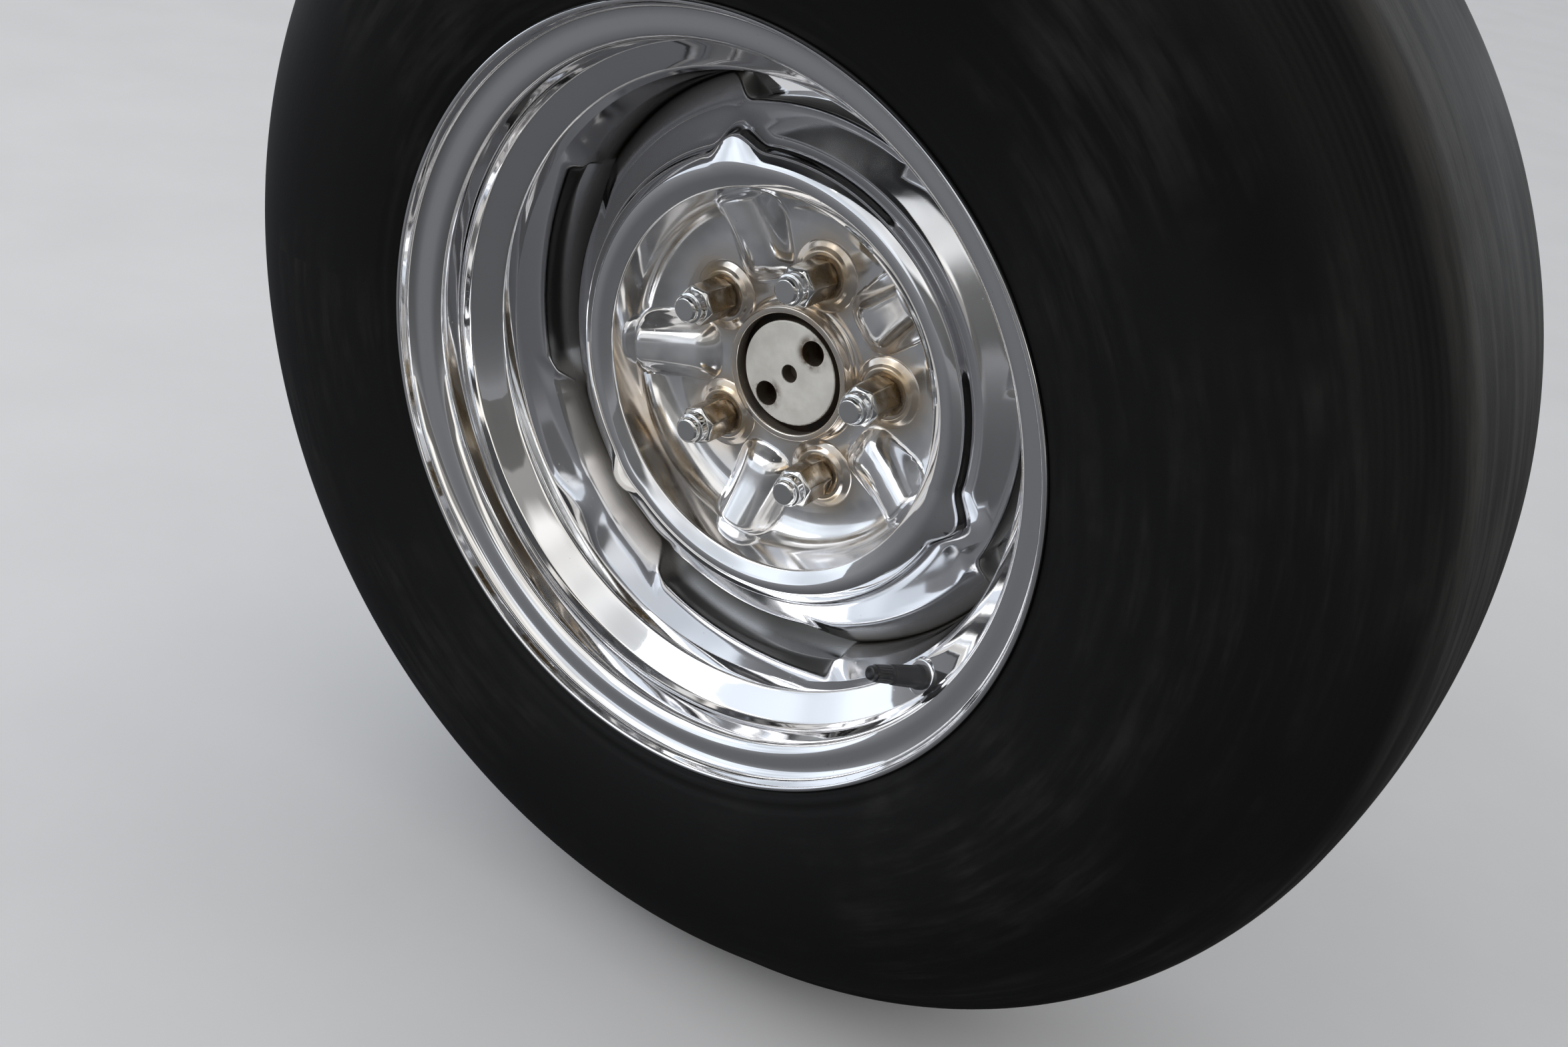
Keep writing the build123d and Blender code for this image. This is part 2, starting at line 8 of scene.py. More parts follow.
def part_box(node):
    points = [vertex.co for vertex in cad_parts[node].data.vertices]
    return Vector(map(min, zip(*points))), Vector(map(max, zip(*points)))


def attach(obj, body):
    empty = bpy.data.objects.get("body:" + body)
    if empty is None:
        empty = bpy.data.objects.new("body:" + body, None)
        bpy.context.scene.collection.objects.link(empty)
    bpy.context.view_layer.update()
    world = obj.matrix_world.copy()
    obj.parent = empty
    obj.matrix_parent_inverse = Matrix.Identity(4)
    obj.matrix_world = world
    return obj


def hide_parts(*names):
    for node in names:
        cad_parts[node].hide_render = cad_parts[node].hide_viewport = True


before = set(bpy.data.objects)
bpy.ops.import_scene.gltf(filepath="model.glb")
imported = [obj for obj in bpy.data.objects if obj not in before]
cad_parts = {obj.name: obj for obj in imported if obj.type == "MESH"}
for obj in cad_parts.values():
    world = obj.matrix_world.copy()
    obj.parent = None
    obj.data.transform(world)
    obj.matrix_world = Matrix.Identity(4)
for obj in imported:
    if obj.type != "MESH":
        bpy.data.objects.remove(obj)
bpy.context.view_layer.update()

# Places from the frame, in metres
RIM_LOW, RIM_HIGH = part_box("rim")
TYRE_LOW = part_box("tyre")[0]
DISC_LOW, DISC_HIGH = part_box("wheel_disc")
NUT_LOW, NUT_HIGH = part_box("lug_nut_1")
LIP_Y = RIM_LOW.y
GROUND_Z = TYRE_LOW.z
MM = 0.001

# The camera, from the photograph's own perspective; metres from the outer lip's centre
PHOTO_WIDTH = 2349
FOCAL_PIXELS = 2304.4
SENSOR_WIDTH = 36.0
CAMERA_FROM_LIP = Vector((0.4146, -0.5698, 0.3500))
CAMERA_RIGHT = Vector((0.80396, 0.57700, 0.14396))
CAMERA_UP = Vector((-0.39132, 0.33100, 0.85867))

# Rim, in millimetres; a depth is measured inboard from the outer lip
LIP_RADIUS = RIM_HIGH.x / MM
RIM_WIDTH = (RIM_HIGH.y - RIM_LOW.y) / MM
RIM_SHEET = 3.0
RIM_TURNS = 420
# Each corner of the outboard half has a radius, a depth and a rounding
RIM_FACE = [
    (LIP_RADIUS - 3.0, 0.0, 1.3),
    (LIP_RADIUS - 4.6, 10.2, 7.0),
    (186.9, 12.8, 7.5),
    (185.5, 28.0, 3.0),
    (187.0, 32.5, 3.4),
    (184.6, 38.0, 2.5),
    (170.6, 49.0, 4.0),
    (168.2, 58.0, 5.0),
    (165.6, 84.0, 50.0),
]
RIM_SLOPE = RIM_FACE[5:7]
WELL_RADIUS = RIM_FACE[-1][0]

# Pressed wheel centre
SHEET = 4.0
CENTRE_TURNS = 420
CROWN_DEPTH = (DISC_LOW.y - LIP_Y) / MM + 1.1
DISC_END = (DISC_HIGH.y - LIP_Y) / MM
FLOOR_DEPTH = CROWN_DEPTH + 37.3
BORE_RADIUS = 35.0
COLLAR_RADIUS = BORE_RADIUS + SHEET
COLLAR_TIP = FLOOR_DEPTH - 9.6
COLLAR_TIP_ROUNDING = 1.9
CROWN_INNER = 107.4
CROWN_TOP = 117.6
CROWN_OUTER = 126.2
CROWN_FALL = 3.6
CROWN_TILT = 1.9
FLOOR_EDGE = CROWN_INNER - 5.9
SKIRT_RADIUS = CROWN_OUTER + 2.6
SKIRT_DEPTH = CROWN_DEPTH + 11.5
SLOPE_RADIUS = 150.0
SLOPE_DEPTH = CROWN_DEPTH + 20.5
SLOPE_CORNER_SHARE = 0.53
SHOULDER_DEPTH = CROWN_DEPTH + 38.5
FOOT_GAP = 0.2
VENT_COUNT = 4
VENT_ANGLE = radians(-91.7)
VENT_HALF_ANGLE = radians(22.9)
VENT_END_WIDTH = radians(9.0)
VENT_END_STEP = radians(0.75)
VENT_END_STEPS = 6
NUB_COUNT = 3
NUB_ANGLE = radians(107.0)
NUB_REACH = 8.5
NUB_HALF_WIDTH = 22.0
LUG_COUNT = 5
LUG_ANGLE = radians(81.3)
LUG_PLACE = 60.325
LUG_PAD_HEIGHT = 2.4
LUG_PAD_SPREAD = 17.0
RIB_NOSE = 52.0
RIB_NOSE_LENGTH = 15.0
RIB_NOSE_HEIGHT = 8.8
RIB_RISE = 17.5
RIB_HALF_WIDTH = 18.0
RIB_WIDENING = 4.0
RIB_END = 108.0
RIB_FADE = 9.0
RIB_BACK_NARROWER = 1.8

# Lug nuts and their seats
NUT_CAP_DEPTH = (NUT_LOW.y - LIP_Y) / MM
NUT_SEAT_DEPTH = (NUT_HIGH.y - LIP_Y) / MM
NUT_FLATS = (NUT_HIGH.z - NUT_LOW.z) / MM
NUT_CAP_RADIUS = 7.5
NUT_SHANK_RADIUS = 8.8
NUT_SIDES = 6
NUT_TURNS = 108
NUT_LOOSE_TURN = pi / 3
SEAT_TURNS = 96
RING_SEED = 4

# Valve
VALVE_ANGLE = radians(-35.5)
VALVE_LEAN = radians(8.0)
VALVE_PLACE = 0.52
VALVE_LENGTH = 36.5
VALVE_CAP_LENGTH = 14.0
VALVE_CAP_START = VALVE_LENGTH - VALVE_CAP_LENGTH
VALVE_CAP_RADIUS = 4.9
VALVE_CAP_RIBS = 18
VALVE_CAP_RIB_DEPTH = 0.34
VALVE_BASE_RADIUS = 6.7
VALVE_PAD_HEIGHT = 1.2
VALVE_TURNS = 96

# Tyre
TYRE_RADIUS = -TYRE_LOW.x / MM
TYRE_BULGE = 12.0
TYRE_TURNS = 400
# Each moulded line has a radius, a half width and a depth; a depth below zero stands out
SIDEWALL_LINES = [
    (LIP_RADIUS + 5.0, 1.6, -0.5),
    (LIP_RADIUS + 9.5, 2.0, 0.45),
    (TYRE_RADIUS - 30.5, 0.8, 0.5),
    (TYRE_RADIUS - 26.0, 0.9, 0.6),
    (TYRE_RADIUS - 19.0, 0.8, 0.5),
]
# The inside's outboard half, from the tread's middle down the wall and round the bead to the rim's lip
TYRE_INSIDE = [
    (TYRE_RADIUS - 14.0, RIM_WIDTH / 2),
    (TYRE_RADIUS - 16.0, 84.0),
    (TYRE_RADIUS - 23.0, 57.0),
    (TYRE_RADIUS - 44.0, 27.0),
    (TYRE_RADIUS - 70.0, 8.0),
    (TYRE_RADIUS - 97.0, -3.6),
    (213.0, 13.0),
    (188.9, 25.8),
    (189.7, 15.0),
    (193.0, 13.4),
    (202.0, 10.5),
    (205.5, 7.0),
]

# Places that only a finish needs; a ring rate is in radians per metre
SHOULDER_RING_RATE = 2600.0
TOOL_RING_RATE = 9000.0
AXLE_FACE_DEPTH = 101.0
AXLE_HOLE_PLACE = 21.5
AXLE_HOLE_ANGLES = (radians(52.5), radians(232.5))

# Colours
PLATE, PLATE_STAIN, PLATE_SPOT = (0.84, 0.84, 0.85), (0.52, 0.39, 0.235), (0.40, 0.40, 0.40)
DIRT_DARK, DIRT_PALE = (0.22, 0.205, 0.185), (0.40, 0.38, 0.35)
# The nuts' olive brown is a painted reflection on their hex flanks
NUT_BRIGHT, NUT_FLANK_REFLECTION = (0.80, 0.80, 0.79), (0.25, 0.19, 0.115)
RUBBER_CLEAN, RUBBER_DUSTY = (0.0046, 0.0046, 0.0048), (0.0150, 0.0145, 0.0140)
# The tread's lighter grey is partly real scuffing and partly painted sheen
RUBBER_SCUFF_AND_SHEEN = (0.034, 0.033, 0.032)
VALVE_RUBBER, VALVE_PLASTIC = (0.010, 0.010, 0.011), (0.009, 0.009, 0.010)
STEEL_FACE_DULL, STEEL_FACE_PALE = (0.64, 0.62, 0.57), (0.76, 0.74, 0.69)
STEEL_DARK, STEEL_PALE, STEEL_STAIN = (0.12, 0.10, 0.08), (0.30, 0.25, 0.20), (0.12, 0.075, 0.045)
IRON_SCALE, IRON_RUST = (0.022, 0.018, 0.015), (0.075, 0.045, 0.028)
PAINT_BLACK, PAINT_DUSTY, PAINT_CHIP = (0.016, 0.016, 0.017), (0.085, 0.075, 0.062), (0.20, 0.11, 0.06)
FLOOR_PALE, CLOTH_NEAR, CLOTH_FAR = (0.62, 0.62, 0.63), (0.125, 0.127, 0.136), (0.24, 0.24, 0.25)
# The flag's dark is painted shade, seen only in reflections
FLAG_SHADE = (0.035, 0.035, 0.038)
SKY_COOL, SKY_WARM = (0.84, 0.91, 1.0), (1.0, 0.97, 0.92)

# Stage and light, in metres and watts
GROUND_REACH = 30.0
CLOTH_RAISED = 0.004
# The share of the cloth's colour kept to the right is painted shade
CLOTH_RIGHT_SHADE = 0.55
FLAG_HALF_WIDTH = 0.9
FLAG_LOW, FLAG_HIGH = 0.195, 0.80
FLAG_FROM_LIP = 0.09
SKY_WARM_SIDE = Vector((0.75, -0.2, 0.6))
LAMP_WIDTH, LAMP_HEIGHT, LAMP_POWER = 2.6, 1.8, 42.0
LAMP_PLACE = Vector((-1.9, -2.3, 2.4))
LAMP_AIM = Vector((1.9, 2.2, -2.4))


def make_camera():
    """The photograph's camera, with its slight roll."""
    data = bpy.data.cameras.new("photo_camera")
    data.sensor_width = SENSOR_WIDTH
    data.lens = FOCAL_PIXELS / PHOTO_WIDTH * SENSOR_WIDTH
    data.clip_start = 0.01
    camera = bpy.data.objects.new("photo_camera", data)
    bpy.context.scene.collection.objects.link(camera)
    back = CAMERA_RIGHT.cross(CAMERA_UP).normalized()
    turn = Matrix((CAMERA_RIGHT.normalized(), CAMERA_UP.normalized(), back)).transposed()
    camera.matrix_world = Matrix.Translation(Vector((0, LIP_Y, 0)) + CAMERA_FROM_LIP) @ turn.to_4x4()
    bpy.context.scene.camera = camera


# Sections and skins
# A rounding takes at most this share of the run on either side
MOST_OF_A_RUN = 0.49


def spot(radius, depth, angle):
    """A point in metres from a radius and a depth in millimetres and an angle about the axle."""
    return Vector((radius * MM * cos(angle), LIP_Y + depth * MM, radius * MM * sin(angle)))


def own_axis_spot(radius, depth, turn):
    """A point about a piece's own axis, from a radius and a depth in millimetres."""
    return Vector((radius * MM * cos(turn), depth * MM, radius * MM * sin(turn)))


def way(a, b):
    """The direction of length one from one section point to another, and how far it is."""
    length = hypot(b[0] - a[0], b[1] - a[1]) or 1e-9
    return (b[0] - a[0]) / length, (b[1] - a[1]) / length, length


def bend_at(before, corner, after, steps):
    """Where the rounding of a corner starts, and the points of its arc after that start."""
    if not corner[2]:
        return corner[:2], []
    in_r, in_d, in_length = way(before, corner)
    out_r, out_d, out_length = way(corner, after)
    turn = atan2(in_r * out_d - in_d * out_r, in_r * out_r + in_d * out_d)
    reach = abs(tan(turn / 2)) or 1e-9
    radius = min(corner[2], MOST_OF_A_RUN * in_length / reach, MOST_OF_A_RUN * out_length / reach)
    start = corner[0] - in_r * radius * reach, corner[1] - in_d * radius * reach
    side = 1 if turn > 0 else -1
    arc = []
    for k in range(1, steps + 1):
        along = radius * sin(abs(turn) * k / steps)
        across = side * radius * (1 - cos(abs(turn) * k / steps))
        arc.append((start[0] + along * in_r - across * in_d, start[1] + along * in_d + across * in_r))
    return start, arc


def rounded(corners, runs=4, bends=6):
    """Points along (radius, depth, rounding) corners, with set numbers of steps on runs and bends."""
    final = len(corners) - 1
    runs = runs if isinstance(runs, list) else [runs] * final
    bends = bends if isinstance(bends, list) else [bends] * (final - 1)
    points, last = [], corners[0][:2]
    for i in range(1, final + 1):
        start, arc = corners[i][:2], []
        if i < final:
            start, arc = bend_at(corners[i - 1], corners[i], corners[i + 1], bends[i - 1])
        for k in range(runs[i - 1]):
            share = 0.5 - 0.5 * cos(pi * k / runs[i - 1])
            points.append((last[0] + share * (start[0] - last[0]), last[1] + share * (start[1] - last[1])))
        points.append(start)
        points += arc[:-1]
        last = arc[-1] if arc else start
    return points


def moved_left(corners, thickness):
    """The corners moved to their left by a sheet's thickness, with matching roundings."""
    moved = []
    for i, (r, d, rounding) in enumerate(corners):
        before = way(corners[i - 1], corners[i]) if i else way(corners[0], corners[1])
        after = way(corners[i], corners[i + 1]) if i < len(corners) - 1 else before
        scale = thickness / (1 + before[0] * after[0] + before[1] * after[1])
        turn = before[0] * after[1] - before[1] * after[0]
        rounding = max(rounding + (1 if turn < 0 else -1) * thickness, 0.4) if rounding else 0
        moved.append((r - scale * (before[1] + after[1]), d + scale * (before[0] + after[0]), rounding))
    return moved


def mirrored(points):
    """Section points carried over to the other side of the rim's middle."""
    return [(r, RIM_WIDTH - d) for r, d in points]


def finished(name, mesh, material):
    """A smooth piece with its normals outward, from a mesh."""
    work = bmesh.new()
    work.from_mesh(mesh)
    bmesh.ops.remove_doubles(work, verts=work.verts, dist=1e-7)
    bmesh.ops.recalc_face_normals(work, faces=work.faces)
    work.to_mesh(mesh)
    work.free()
    mesh.polygons.foreach_set("use_smooth", [True] * len(mesh.polygons))
    mesh.materials.append(material)
    piece = bpy.data.objects.new(name, mesh)
    bpy.context.scene.collection.objects.link(piece)
    return piece


def skin(name, outlines, material, closed=True):
    """A piece through outlines that follow each other in a ring; each outline may be closed too."""
    count, size = len(outlines), len(outlines[0])
    mesh = bpy.data.meshes.new(name)
    faces = []
    for i in range(count):
        here, there = i * size, (i + 1) % count * size
        for j in range(size if closed else size - 1):
            k = (j + 1) % size
            faces.append((here + j, here + k, there + k, there + j))
    mesh.from_pydata([p for outline in outlines for p in outline], [], faces)
    return finished(name, mesh, material)


def lathe(name, outline, turns, material):
    """A closed (radius, depth) outline turned about the axle."""
    angles = [2 * pi * k / turns for k in range(turns)]
    return skin(name, [[spot(r, d, a) for r, d in outline] for a in angles], material)


def smooth_step(low, high, value):
    """0 below low, 1 above high, and a smooth rise between them."""
    share = min(max((value - low) / (high - low), 0.0), 1.0)
    return share * share * (3 - 2 * share)


def smooth_min(a, b, reach):
    """The lesser of two values, with the change between them blended where they are within a reach."""
    near = max(reach - abs(a - b), 0.0) / reach
    return min(a, b) - near * near * reach / 4


def aside(angle, first, count):
    """How far an angle is from the nearest of several that repeat round the axle."""
    pitch = 2 * pi / count
    return (angle - first + pitch / 2) % pitch - pitch / 2


# Rim
def make_rim(material):
    """The rim's shell, with a rolled lip, bead seats, humps, slopes and well."""
    half = len(RIM_FACE)
    face = RIM_FACE + [(r, RIM_WIDTH - d, rounding) for r, d, rounding in reversed(RIM_FACE)]
    tyre_side = moved_left(face, -RIM_SHEET)
    start = (WELL_RADIUS + RIM_SHEET, RIM_WIDTH / 2, 0)
    corners = [start] + list(reversed(tyre_side[:half])) + face + list(reversed(tyre_side[half:])) + [start]
    # Fewer steps on the side that the tyre covers
    runs = [1] * 8 + [3] * 20 + [1] * 9
    bends = [2] * 7 + [6] * 11 + [4] * 11 + [2] * 7
    piece = lathe("rim_shell", rounded(corners, runs, bends)[:-1], RIM_TURNS, material)
    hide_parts("rim")
    return piece


# Wheel centre
def slope_at(radius):
    """The depth of the centre's outer slope at a radius."""
    inner, outer, start, end = SKIRT_RADIUS, SLOPE_RADIUS, SKIRT_DEPTH, SLOPE_DEPTH
    if radius >= SLOPE_RADIUS:
        inner, outer, start, end = SLOPE_RADIUS, WELL_RADIUS, SLOPE_DEPTH, SHOULDER_DEPTH
    return start + (end - start) * (radius - inner) / (outer - inner)


def rib_height(radius, angle, narrower):
    """How high the nearest rib, a soft pillow with a blunt nose, stands over the bowl's floor."""
    off = aside(angle, LUG_ANGLE + pi / LUG_COUNT, LUG_COUNT)
    along, across = radius * cos(off), abs(radius * sin(off))
    share = min(max((along - RIB_NOSE) / (RIB_END - RIB_NOSE), 0.0), 1.0)
    past_side = across / (RIB_HALF_WIDTH + RIB_WIDENING * share - narrower)
    past_nose = max(RIB_NOSE + RIB_NOSE_LENGTH - along, 0.0) / RIB_NOSE_LENGTH
    outside = past_side ** 3.0 + past_nose ** 3.0
    if outside >= 1:
        return 0.0
    top = RIB_NOSE_HEIGHT + RIB_RISE * share ** 1.5
    return top * (1 - outside) ** 1.4 * (1 - smooth_step(RIB_END - RIB_FADE, RIB_END, radius))


def raised(radius, depth, angle, floor, narrower):
    """The depth with the ribs and the broad pads round the lugs pressed up."""
    if not COLLAR_RADIUS + 1.0 < radius < RIB_END:
        return depth
    off = aside(angle, LUG_ANGLE, LUG_COUNT)
    from_lug = hypot(radius * cos(off) - LUG_PLACE, radius * sin(off))
    pad = LUG_PAD_HEIGHT * exp(-(from_lug / LUG_PAD_SPREAD) ** 2)
    pad *= smooth_step(COLLAR_RADIUS + 1.0, COLLAR_RADIUS + 8.0, radius)
    wall = max(floor - depth, 0.0)
    height = (wall ** 4 + rib_height(radius, angle, narrower) ** 4) ** 0.25
    return depth + wall - height - pad


def centre_corners(angle):
    """The corners of the pressed centre's front at one angle, from the collar's tip out."""
    nub_aside = CROWN_OUTER * aside(angle, NUB_ANGLE, NUB_COUNT) / NUB_HALF_WIDTH
    nub = NUB_REACH * max(0.0, 1 - nub_aside * nub_aside) ** 3
    off_vent = abs(aside(angle, VENT_ANGLE, VENT_COUNT)) - VENT_HALF_ANGLE
    foot = smooth_step(-VENT_END_WIDTH / 2, VENT_END_WIDTH / 2, off_vent)
    edge = SLOPE_RADIUS + (WELL_RADIUS - FOOT_GAP - SLOPE_RADIUS) * foot
    skirt = SKIRT_RADIUS + nub
    slope = skirt + SLOPE_CORNER_SHARE * (edge - skirt)
    return [
        (COLLAR_RADIUS, COLLAR_TIP, 0),
        (COLLAR_RADIUS, FLOOR_DEPTH, 9.2),
        (FLOOR_EDGE, FLOOR_DEPTH, 30.0),
        (CROWN_INNER, CROWN_DEPTH + CROWN_FALL, 2.4),
        (CROWN_TOP, CROWN_DEPTH - CROWN_TILT, 11.0),
        (CROWN_OUTER + nub, CROWN_DEPTH + CROWN_TILT, 2.4),
        (skirt, SKIRT_DEPTH, 13.0),
        (slope, slope_at(slope), 24.0),
        (edge, slope_at(edge), 5.0),
        (edge, DISC_END, 0),
    ]


def centre_section(angle):
    """The pressed centre's closed outline at one angle: the front face out, and the back face in."""
    front = centre_corners(angle)
    back = moved_left(front, SHEET)
    # The two faces meet in the middle of the collar's rounded tip
    tip = [(BORE_RADIUS + SHEET / 2, COLLAR_TIP, 0)]
    front[0] = (COLLAR_RADIUS, COLLAR_TIP, COLLAR_TIP_ROUNDING)
    back[0] = (BORE_RADIUS, COLLAR_TIP, COLLAR_TIP_ROUNDING)
    front = rounded(tip + front, [1, 2, 34, 8, 2, 2, 2, 5, 3, 2], [4, 6, 10, 5, 9, 5, 5, 6, 6])
    back = rounded(tip + back, [1, 1, 10, 3, 1, 1, 1, 1, 1, 1], [3, 4, 5, 2, 3, 2, 3, 3, 2])
    front = [(r, raised(r, d, angle, FLOOR_DEPTH, 0.0)) for r, d in front]
    back = [(r, raised(r, d, angle, FLOOR_DEPTH + SHEET, RIB_BACK_NARROWER)) for r, d in back]
    return [spot(r, d, angle) for r, d in front + list(reversed(back))[:-1]]


def centre_angles():
    """The angles of the centre's sections, closer together at the ends of the vents."""
    angles = {round(2 * pi * k / CENTRE_TURNS, 6) for k in range(CENTRE_TURNS)}
    for k in range(VENT_COUNT):
        for side in (-1, 1):
            vent_end = VENT_ANGLE + 2 * pi * k / VENT_COUNT + side * VENT_HALF_ANGLE
            for n in range(-VENT_END_STEPS, VENT_END_STEPS + 1):
                angles.add(round((vent_end + VENT_END_STEP * n) % (2 * pi), 6))
    return sorted(angles)


def make_wheel_centre(material):
    """The pressed centre with its collar, ribs, crown, nubs, feet and vents."""
    piece = skin("wheel_centre", [centre_section(angle) for angle in centre_angles()], material)
    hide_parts("wheel_disc")
    return piece


# Node trees
def fill(tree, node, inputs):
    """Sets a node's inputs, by link where the value is a socket."""
    for key, value in inputs.items():
        if isinstance(value, bpy.types.NodeSocket):
            tree.links.new(value, node.inputs[key])
        else:
            node.inputs[key].default_value = value


def adder(tree):
    """A function that adds a node to a tree, with its settings and its inputs."""
    def add(kind, inputs=None, **settings):
        node = tree.nodes.new(kind)
        for key, value in settings.items():
            setattr(node, key, value)
        fill(tree, node, inputs or {})
        return node

    return add


def sums(add, operation, a, b=0.0, c=0.0):
    """One math node's result."""
    return add("ShaderNodeMath", {0: a, 1: b, 2: c}, operation=operation).outputs[0]


def times(add, a, b):
    """Two values multiplied."""
    return sums(add, "MULTIPLY", a, b)


# Lug nuts and their seats
def ring_of_copies():
    """A node tree that sets copies of a mesh in a ring about the axle, each turned on its own axis."""
    tree = bpy.data.node_groups.new("ring_of_copies", "GeometryNodeTree")
    for name, kind, low in (
        ("Mesh", "NodeSocketGeometry", None), ("Count", "NodeSocketInt", 1),
        ("Ring Radius", "NodeSocketFloat", 0.0), ("First Angle", "NodeSocketFloat", None),
        ("Across", "NodeSocketFloat", None), ("Loose Turn", "NodeSocketFloat", 0.0),
        ("Seed", "NodeSocketInt", 0), ("Finish", "NodeSocketMaterial", None),
    ):
        socket = tree.interface.new_socket(name, in_out="INPUT", socket_type=kind)
        if low is not None:
            socket.min_value = low
    tree.interface.new_socket("Mesh", in_out="OUTPUT", socket_type="NodeSocketGeometry")

    add = adder(tree)
    given = add("NodeGroupInput").outputs
    index = add("GeometryNodeInputIndex").outputs[0]
    step = sums(add, "DIVIDE", 2 * pi, given["Count"])
    angle = sums(add, "MULTIPLY_ADD", index, step, given["First Angle"])
    ring_x = times(add, given["Ring Radius"], sums(add, "COSINE", angle))
    ring_z = times(add, given["Ring Radius"], sums(add, "SINE", angle))
    place = add("ShaderNodeCombineXYZ", {0: ring_x, 1: given["Across"], 2: ring_z}).outputs[0]
    points = add("GeometryNodePoints", {"Count": given["Count"], "Position": place}).outputs[0]
    limits = {2: 0.0, 3: given["Loose Turn"], "Seed": given["Seed"]}
    loose = add("FunctionNodeRandomValue", limits, data_type="FLOAT").outputs[1]
    own_turn = sums(add, "SUBTRACT", loose, angle)
    turn = add("ShaderNodeCombineXYZ", {0: 0.0, 1: own_turn, 2: 0.0}).outputs[0]
    setting = {"Points": points, "Instance": given["Mesh"], "Rotation": turn}
    copies = add("GeometryNodeInstanceOnPoints", setting).outputs[0]
    solid = add("GeometryNodeRealizeInstances", {0: copies}).outputs[0]
    finish = add("GeometryNodeSetMaterial", {"Geometry": solid, "Material": given["Finish"]}).outputs[0]
    add("NodeGroupOutput", {0: finish})
    return tree


def set_in_ring(piece, name, tree, material, loose_turn=0.0):
    """Copies of a piece that was made on its own axis, one on each lug, as one plain mesh."""
    modifier = piece.modifiers.new("ring", "NODES")
    modifier.node_group = tree
    values = {
        "Count": LUG_COUNT, "Ring Radius": LUG_PLACE * MM, "First Angle": LUG_ANGLE,
        "Across": LIP_Y, "Loose Turn": loose_turn, "Seed": RING_SEED, "Finish": material,
    }
    for socket in tree.interface.items_tree:
        if socket.in_out == "INPUT" and socket.name in values:
            modifier[socket.identifier] = values[socket.name]
    bpy.context.view_layer.update()
    evaluated = piece.evaluated_get(bpy.context.evaluated_depsgraph_get())
    mesh = bpy.data.meshes.new_from_object(evaluated)
    mesh.name = name
    piece.modifiers.remove(modifier)
    bpy.data.objects.remove(piece)
    ring = bpy.data.objects.new(name, mesh)
    bpy.context.scene.collection.objects.link(ring)
    return ring


def make_seats(tree, material):
    """A rounded boss with a conical mouth round each lug."""
    low, floor = FLOOR_DEPTH + 1.6, FLOOR_DEPTH - LUG_PAD_HEIGHT
    outline = rounded([
        (8.0, low, 0), (8.0, floor - 0.2, 0), (12.4, floor - 1.9, 0.9), (14.3, floor - 2.2, 2.4),
        (16.6, floor - 0.4, 3.0), (20.5, floor + 1.5, 3.0), (21.5, low, 0), (8.0, low, 0),
    ], 3, 7)[:-1]
    turns = [2 * pi * n / SEAT_TURNS for n in range(SEAT_TURNS)]
    seat = skin("lug_seat", [[own_axis_spot(r, d, turn) for r, d in outline] for turn in turns], material)
    return set_in_ring(seat, "lug_seats", tree, material)


def make_nuts(tree, material):
    """Closed lug nuts: a round cap, a chamfered hexagon and a conical seat."""
    face, seat, corner = NUT_CAP_DEPTH, NUT_SEAT_DEPTH, NUT_FLATS / 2 / cos(pi / NUT_SIDES)
    blank = rounded([
        (0.01, face + 0.1, 0), (NUT_CAP_RADIUS - 1.3, face + 0.05, 1.0),
        (NUT_CAP_RADIUS, face + 1.3, 1.0), (NUT_CAP_RADIUS, face + 3.4, 0.4),
        (NUT_CAP_RADIUS - 0.4, face + 3.8, 0.3), (NUT_SHANK_RADIUS, face + 4.4, 0.6),
        (NUT_SHANK_RADIUS, face + 9.7, 0.8), (corner + 0.3, face + 11.3, 0.4),
        (corner + 0.3, seat - 8.6, 0.5), (NUT_FLATS / 2 + 0.2, seat - 6.6, 0.8),
        (7.6, seat, 0), (7.0, seat, 0), (0.01, seat - 0.1, 0),
    ], [3, 1, 1, 1, 1, 3, 2, 7, 1, 3, 1, 1], 5)
    rows = []
    for n in range(NUT_TURNS):
        turn = 2 * pi * n / NUT_TURNS
        flat = NUT_FLATS / 2 / cos(aside(turn, 0.0, NUT_SIDES))
        hexagon = smooth_min(flat, corner - 0.15, 0.25)
        row = []
        for r, d in blank:
            radius = smooth_min(r, hexagon, 0.35) if r > NUT_SHANK_RADIUS + 0.1 else r
            row.append(own_axis_spot(radius, d, turn))
        rows.append(row)
    nut = skin("lug_nut", rows, material, closed=False)
    nuts = set_in_ring(nut, "lug_nuts_dressed", tree, material, NUT_LOOSE_TURN)
    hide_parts(*[f"lug_nut_{k}" for k in range(1, LUG_COUNT + 1)])
    return nuts


# Valve
def valve_place():
    """The valve's seat on the rim's slope, the way it points, and two directions across it."""
    start, end = RIM_SLOPE
    along_r, along_d, _ = way(start, end)
    out_r = -along_d * cos(VALVE_LEAN) - along_r * sin(VALVE_LEAN)
    out_d = -along_d * sin(VALVE_LEAN) + along_r * cos(VALVE_LEAN)
    seat_r = start[0] + VALVE_PLACE * (end[0] - start[0])
    seat_d = start[1] + VALVE_PLACE * (end[1] - start[1])
    outward = Vector((out_r * cos(VALVE_ANGLE), out_d, out_r * sin(VALVE_ANGLE)))
    across = outward.cross(Vector((-sin(VALVE_ANGLE), 0, cos(VALVE_ANGLE)))).normalized()
    return spot(seat_r, seat_d, VALVE_ANGLE), outward, across, outward.cross(across)


def turned_on_valve(name, profile, material, ripple=None):
    """A profile of (radius, height) points turned about the valve's axis, with a ripple if one is given."""
    seat, outward, across, over = valve_place()
    rows = []
    for n in range(VALVE_TURNS):
        turn = 2 * pi * n / VALVE_TURNS
        side = across * cos(turn) + over * sin(turn)
        rows.append([
            seat + (outward * h + side * (r + (ripple(h, turn) if ripple and r > 1 else 0))) * MM
            for r, h in profile
        ])
    return skin(name, rows, material, closed=False)


